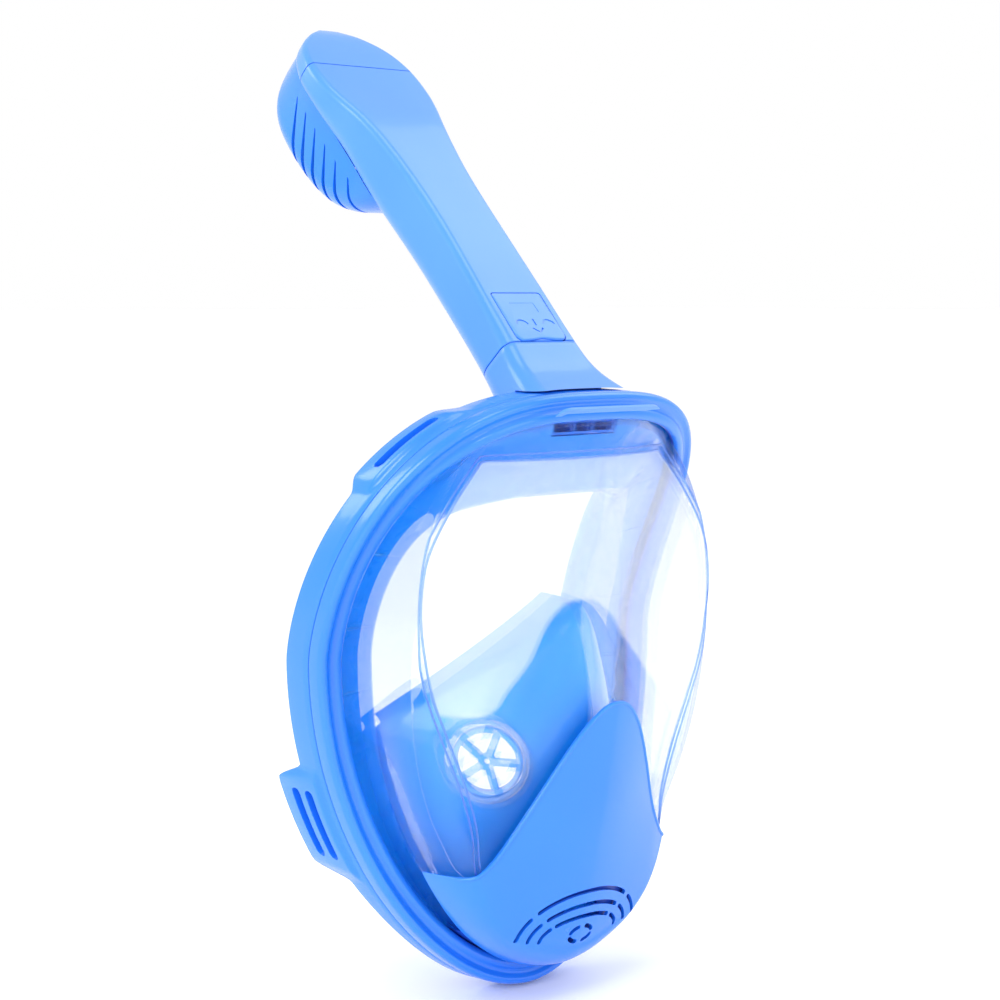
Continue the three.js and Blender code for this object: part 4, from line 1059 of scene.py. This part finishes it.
def section(z, inset=0.0, per_corner=12, per_side=5):
    """Rounded box section of the tube at a height above its seam."""
    half, front, rear = tube_half(z) - inset, tube_front(z) + inset, tube_rear(z) - inset
    limit = min(half, (rear - front) / 2) * 0.95
    sharp, soft = clamp(front_corner(z) - inset, 1, limit), clamp(10 - inset, 1, limit)
    corners = [(1, -1, sharp), (1, 1, soft), (-1, 1, soft), (-1, -1, sharp)]
    loop = []
    for c, (sx, sy, r) in enumerate(corners):
        for k in range(per_corner):
            turn = math.radians(-90 + c * 90) + k / (per_corner - 1) * math.pi / 2
            cy = front + r if sy < 0 else rear - r
            loop.append(Vector((sx * (half - r) + r * math.cos(turn), cy + r * math.sin(turn), z)))
        nc = (c + 1) % 4
        nx, ny, nr = corners[nc]
        turn = math.radians(-90 + nc * 90)
        next_y = front + nr if ny < 0 else rear - nr
        target = Vector((nx * (half - nr) + nr * math.cos(turn), next_y + nr * math.sin(turn), z))
        start = loop[-1].copy()
        loop += [start.lerp(target, k / per_side) for k in range(1, per_side)]
    return loop


def levels(low, high, step):
    count = max(1, round((high - low) / step))
    return [mix(low, high, k / count) for k in range(count + 1)]


def hollow(heights, outer_inset, inner_inset, edge=0.25, straight=False):
    """Hollow length of tube, its end edges a little rounded; straight keeps the seam's section."""
    def at(z, inset):
        if not straight:
            return section(z, inset)
        return [Vector((p.x, p.y, z)) for p in section(0, inset)]

    outer = [at(z, outer_inset) for z in heights]
    inner = [at(z, inner_inset) for z in reversed(heights)]
    first, last = heights[0], heights[-1]
    wrap_top = [at(last, outer_inset + edge), at(last, inner_inset - edge)]
    wrap_low = [at(first, inner_inset - edge), at(first, outer_inset + edge)]
    outer = [at(first + edge, outer_inset)] + outer[1:-1] + [at(last - edge, outer_inset)]
    inner = [at(last - edge, inner_inset)] + inner[1:-1] + [at(first + edge, inner_inset)]
    loops = outer + wrap_top + inner + wrap_low
    return ring_loft([[loop[j] for loop in loops] for j in range(len(loops[0]))])


def snorkel_piece(name, shape, material, sharp=40):
    points, faces = shape
    return build(name, placed(points, SNORKEL), faces, material, sharp)


def rim_plug(inset, front, back):
    return capped_loft([[rim(a, inset, depth) for a in ANGLES] for depth in (front, back)])


def frame_tools(spare):
    seat, behind, tuck = BEZEL_OUT + 1.1, WALL_DEPTH + GAP, 3.0
    return [build("plug", *rim_plug(-seat - spare, -12, behind + spare)),
            build("plug", *rim_plug(tuck - spare, behind - 1, 75))]


def local_box(x, y, z):
    """Box shape in the snorkel's frame from its lowest and highest x, y and z."""
    return capped_loft([
        [Vector((a, b, c)) for a, b in ((x[0], y[0]), (x[1], y[0]), (x[1], y[1]), (x[0], y[1]))]
        for c in z
    ])


base_loops = [section(z) for z in levels(TUBE_FOOT, -0.4, 2)] + [section(0, 0.3)]
base = snorkel_piece("tube_base", capped_loft(base_loops), TUBE)
bore = [[Vector((p.x, p.y, z)) for p in section(0, BASE_WALL)] for z in (SOCKET_LOW, 1)]
flare = [section(z, BASE_WALL) for z in levels(TUBE_FOOT, SOCKET_LOW - 3, 4)]
room = snorkel_piece("room", capped_loft(flare + bore), TUBE)
carve(room, frame_tools(2.2))
notch = snorkel_piece("notch", local_box((-7.3, 7.3), (-13.2, -10.4), (-3.5, 1)), TUBE)
passage = rounded_box(
    "passage", (34.6, 5.4, 9), Matrix.Translation((0, CROWN.y + 18.9, CROWN.z + 2.4)), TUBE, 0.5)
carve(base, frame_tools(0) + [room, notch, passage], sharp=40)
finish_piece(base, "mask", "tube", "snorkel_base")

# Latch panel in the tube's front face, with its outline used for both panel and window.
LATCH_HALF, LATCH_TOP = 13.5, 26.0


def latch_outline(grow):
    half, top = LATCH_HALF + grow, LATCH_TOP + grow
    across = [mix(half - 3, 3 - half, k / 24) for k in range(25)]
    low = [(x, 0.35 - grow + 0.9 * math.exp(-(x / 5.0) ** 2)) for x in across]
    points = []
    for k in range(9):
        a = -math.pi / 2 - math.pi / 2 * k / 8
        points.append((3 - half + 3 * math.cos(a), low[-1][1] + 3 + 3 * math.sin(a)))
    for cx, a0 in ((-half + 1.5, math.pi), (half - 1.5, math.pi / 2)):
        for k in range(7):
            a = a0 - math.pi / 2 * k / 6
            points.append((cx + 1.5 * math.cos(a), top - 1.5 + 1.5 * math.sin(a)))
    for k in range(9):
        a = -math.pi / 2 * k / 8
        points.append((half - 3 + 3 * math.cos(a), low[0][1] + 3 + 3 * math.sin(a)))
    return points + low[1:-1]


def latch_block(grow, front, back):
    return capped_loft([[Vector((x, y, z)) for x, z in latch_outline(grow)] for y in (front, back)])


def stroke(points, width, front, back):
    """Straight-sided groove cutter along a few points in the panel's face."""
    run = [Vector(p) for p in points]
    left, right = [], []
    for k, p in enumerate(run):
        a = run[max(k - 1, 0)]
        b = run[min(k + 1, len(run) - 1)]
        d = (b - a).normalized()
        side = Vector((-d.y, d.x)) * width / 2
        left.append(p + side)
        right.append(p - side)
    outline = left + list(reversed(right))
    return capped_loft([[Vector((q.x, y, q.y)) for q in outline] for y in (front, back)])


def arc(cx, cz, r, start, end, count=10):
    return [(cx + r * math.cos(math.radians(mix(start, end, k / count))),
             cz + r * math.sin(math.radians(mix(start, end, k / count)))) for k in range(count + 1)]


tube = snorkel_piece("snorkel_tube_shell", hollow(levels(GAP, TUBE_LENGTH, 2.4), 0, TUBE_WALL), TUBE)
spigot = snorkel_piece("spigot", hollow(levels(-22, 4, 3), 2.9, 4.7, straight=True), TUBE)
carve(spigot, frame_tools(5.6))
collar = snorkel_piece("collar", hollow([GAP, 2, 4], TUBE_WALL - 0.3, 3.2, 0.1), TUBE)
hook_slot = snorkel_piece("hook_slot", local_box((-7.4, 7.4), (-18, -8), (-4.3, 0.8)), TUBE)
latch_window = [snorkel_piece("latch_window", latch_block(0.35, -18, -8), TUBE) for _ in range(3)]
carve(tube, [latch_window[0]])
carve(spigot, [latch_window[1], hook_slot])
carve(collar, [latch_window[2]])
grille_window = snorkel_piece("grille_window", local_box((-16, 16), (0, 40), (113, 160)), TUBE)
carve(tube, [grille_window])
tube = join("snorkel_tube_shell", [tube, spigot, collar])
finish_piece(tube, "snorkel", "tube", "snorkel_tube")

plate_loops = []
for grow, y in ((-0.7, -14.6), (-0.35, -14.5), (-0.05, -14.2), (0, -13.8), (0, -11.9), (-0.2, -11.7)):
    loop = []
    for x, z in latch_outline(grow):
        ease = smooth(LATCH_TOP, LATCH_TOP - 4.5, z) if y < -13.9 else 1.0
        loop.append(Vector((x, mix(-13.9, y, ease) if y < -13.9 else y, z)))
    plate_loops.append(loop)
latch = snorkel_piece("latch_panel", capped_loft(plate_loops), TUBE, 40)
SYMBOLS = [
    [(-6.6, 20.2), (6.4, 20.2), (6.4, 15.6)], arc(-6.6, 7.6, 3.4, 150, 20), arc(8.0, 7.6, 3.4, 150, 20),
    [(0.6, 11.6), (0.6, 8.2)], [(-2.2, 6.6), (0.6, 4.4), (3.4, 6.6)],
]
carve(latch, [snorkel_piece("mark", stroke(s, 0.85, -16, -14.0), TUBE) for s in SYMBOLS])
tongue = snorkel_piece("tongue", local_box((-7, 7), (-12.9, -11.75), (-3.2, 2)), TUBE)
latch = join("latch_panel", [latch, tongue])
finish_piece(latch, "latch", "tube", "latch_tab")

seal = snorkel_piece("spigot_ring", hollow([-10.1, -9.1, -8.1], 2.7, 3.7, 0.3, True), RUBBER, 60)
finish_piece(seal, "snorkel", "gasket", "spigot_seal")

cap_levels = levels(TUBE_LENGTH + GAP, TUBE_LENGTH + 29.2, 1.2)
cap_outer = [section(z) for z in cap_levels]
cap_inner = [section(z, TUBE_WALL) for z in cap_levels if z < TUBE_LENGTH + 20]
cap = snorkel_piece("tube_cap", pole_loft(
    Vector((0, 1, TUBE_LENGTH + CAP_HEIGHT)), list(reversed(cap_outer)) + cap_inner,
    Vector((0, 1, TUBE_LENGTH + CAP_HEIGHT - TUBE_WALL - 2))), TUBE, 50)
finish_piece(cap, "snorkel", "tube", "top_cap")


grille_rear = curve_through([
    (102, 13), (105, 20), (109, 26), (116, 32.5), (124, 37), (134, 40), (148, 41.8), (162, 42),
    (171, 41.6), (179, 40), (186, 36.5), (191, 30), (195, 21),
])
grille_side = curve_through([
    (102, 11), (106, 14.5), (114, 17.5), (126, 20), (150, 21.5), (170, 21), (182, 18.5), (190, 14),
    (195, 8),
])


def basket_section(z, inset=0.0):
    half, rear, front = grille_side(z) - inset, grille_rear(z) - inset, 1.0 + inset
    r = clamp(11 - inset, 1, min(half, (rear - front) / 2) * 0.92)
    loop = []
    for c, (sx, cy) in enumerate(((1, front + 2), (1, rear - r), (-1, rear - r), (-1, front + 2))):
        radius = r if c in (1, 2) else 2.0
        for k in range(11):
            turn = math.radians(-90 + c * 90) + k / 10 * math.pi / 2
            x = sx * (half - radius) + radius * math.cos(turn)
            loop.append(Vector((x, cy + radius * math.sin(turn), z)))
    return loop


basket_levels = levels(102.5, 194.5, 1.5)
grille = snorkel_piece("grille_basket", capped_loft([basket_section(z) for z in basket_levels]), SHELL)
head_levels = levels(90, TUBE_LENGTH + 1, 4)
cap_room_levels = levels(TUBE_LENGTH - 1, TUBE_LENGTH + 26, 3)
grille_tools = [
    snorkel_piece("head", capped_loft([section(z, -GAP) for z in head_levels]), SHELL),
    snorkel_piece("cap_room", capped_loft([section(z, -GAP) for z in cap_room_levels]), SHELL),
    snorkel_piece("hollow", capped_loft([basket_section(z, 2.0) for z in levels(107, 185, 2)]), SHELL),
]
SLIT_FRONT, SLIT_REAR, SLIT_FALL = 16.5, 46, 0.74  # fall for each millimetre to the rear
for top in [169.6 - 9.7 * k for k in range(5)] + [120.6]:
    low = top - SLIT_FALL * (SLIT_REAR - SLIT_FRONT)
    shape = fillet([
        (SLIT_FRONT, top + 0.5), (SLIT_REAR, low + 0.6), (SLIT_REAR, low - 4.6),
        (SLIT_FRONT + 0.6, top - 1.0),
    ], 0.5, 3)
    grille_tools.append(snorkel_piece("slit", capped_loft(
        [[Vector((x, q[0], q[1])) for q in shape] for x in (-30, 30)]), SHELL))
carve(grille, grille_tools)
finish_piece(grille, "snorkel", "shell", "rear_grille")

soften("centre_duct", SEAT, 0.4)
soften("float_cage", SEAT, 0.25)
soften("float", FOAM, 0.6)
soften("float_seal", RUBBER, 0.3)

# --- floor, light, camera
low_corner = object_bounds()[0]
floor_mesh = bpy.data.meshes.new("floor")
half_size, level = 40.0, low_corner.z - 0.0005
square = [(-1, -1), (1, -1), (1, 1), (-1, 1)]
floor_mesh.from_pydata([(x * half_size, y * half_size, level) for x, y in square], [], [(0, 1, 2, 3)])
floor = bpy.data.objects.new("floor", floor_mesh)
bpy.context.scene.collection.objects.link(floor)
floor_material, floor_tree, floor_shader = new_material("floor_white")
floor_tone = ramp(floor_tree, noise(floor_tree, 2.0), [(0.0, (0.985, 0.99, 1.0)), (1.0, (1.0, 1.0, 1.0))])
floor_tree.links.new(floor_tone, floor_shader.inputs["Base Color"])
set_inputs(floor_shader, {
    "Roughness": 0.6, "Specular IOR Level": 0.2, "Emission Color": (1, 1, 1, 1),
    "Emission Strength": 0.03,
})
floor_mesh.materials.append(floor_material)


def area_light(name, place, target, size, power, colour=(1, 1, 1)):
    light = bpy.data.lights.new(name, "AREA")
    light.shape = "DISK"
    light.size = size
    light.energy = power
    light.color = colour
    obj = bpy.data.objects.new(name, light)
    obj.location = place
    obj.rotation_mode = "QUATERNION"
    obj.rotation_quaternion = (Vector(target) - Vector(place)).to_track_quat("-Z", "Y")
    bpy.context.scene.collection.objects.link(obj)


area_light("key", (0.87, -0.25, 1.0), (0, -0.02, 0.12), 0.9, 3.5)
area_light("front", (0.15, -1.5, 0.3), (0, 0, 0.05), 0.8, 2.5)
area_light("streak", (-0.6, -1.4, 0.55), (0, 0, 0.05), 0.35, 2.0)
area_light("left", (-1.5, -0.2, 0.5), (0, 0, 0.05), 0.8, 9.0)
area_light("top", (-0.3, -0.4, 1.5), (0, 0, 0.1), 0.8, 4.5)
area_light("edge", (-0.9, 1.1, 0.8), (0, 0, 0.12), 0.7, 4.5)

world = bpy.data.worlds.new("studio")
world.use_nodes = True
sky = world.node_tree.nodes["Background"]
set_inputs(sky, {
    "Color": (1, 1, 1, 1), "Strength": 1.0,
})
bpy.context.scene.world = world

camera_data = bpy.data.cameras.new("camera")
camera = bpy.data.objects.new("camera", camera_data)
bpy.context.scene.collection.objects.link(camera)
camera_data.lens = 79.06
camera_data.sensor_width = 36
camera_data.clip_start = 0.01
azimuth, elevation, distance = math.radians(42), math.radians(5.3), 0.915
level_out = math.cos(elevation)
away = Vector((-math.sin(azimuth) * level_out, -math.cos(azimuth) * level_out, math.sin(elevation)))
camera.location = Vector((0, -0.03, 0.08)) + away * distance
camera.rotation_mode = "QUATERNION"
camera.rotation_quaternion = away.to_track_quat("Z", "Y")
bpy.context.scene.camera = camera
bpy.context.scene.view_settings.view_transform = "Standard"
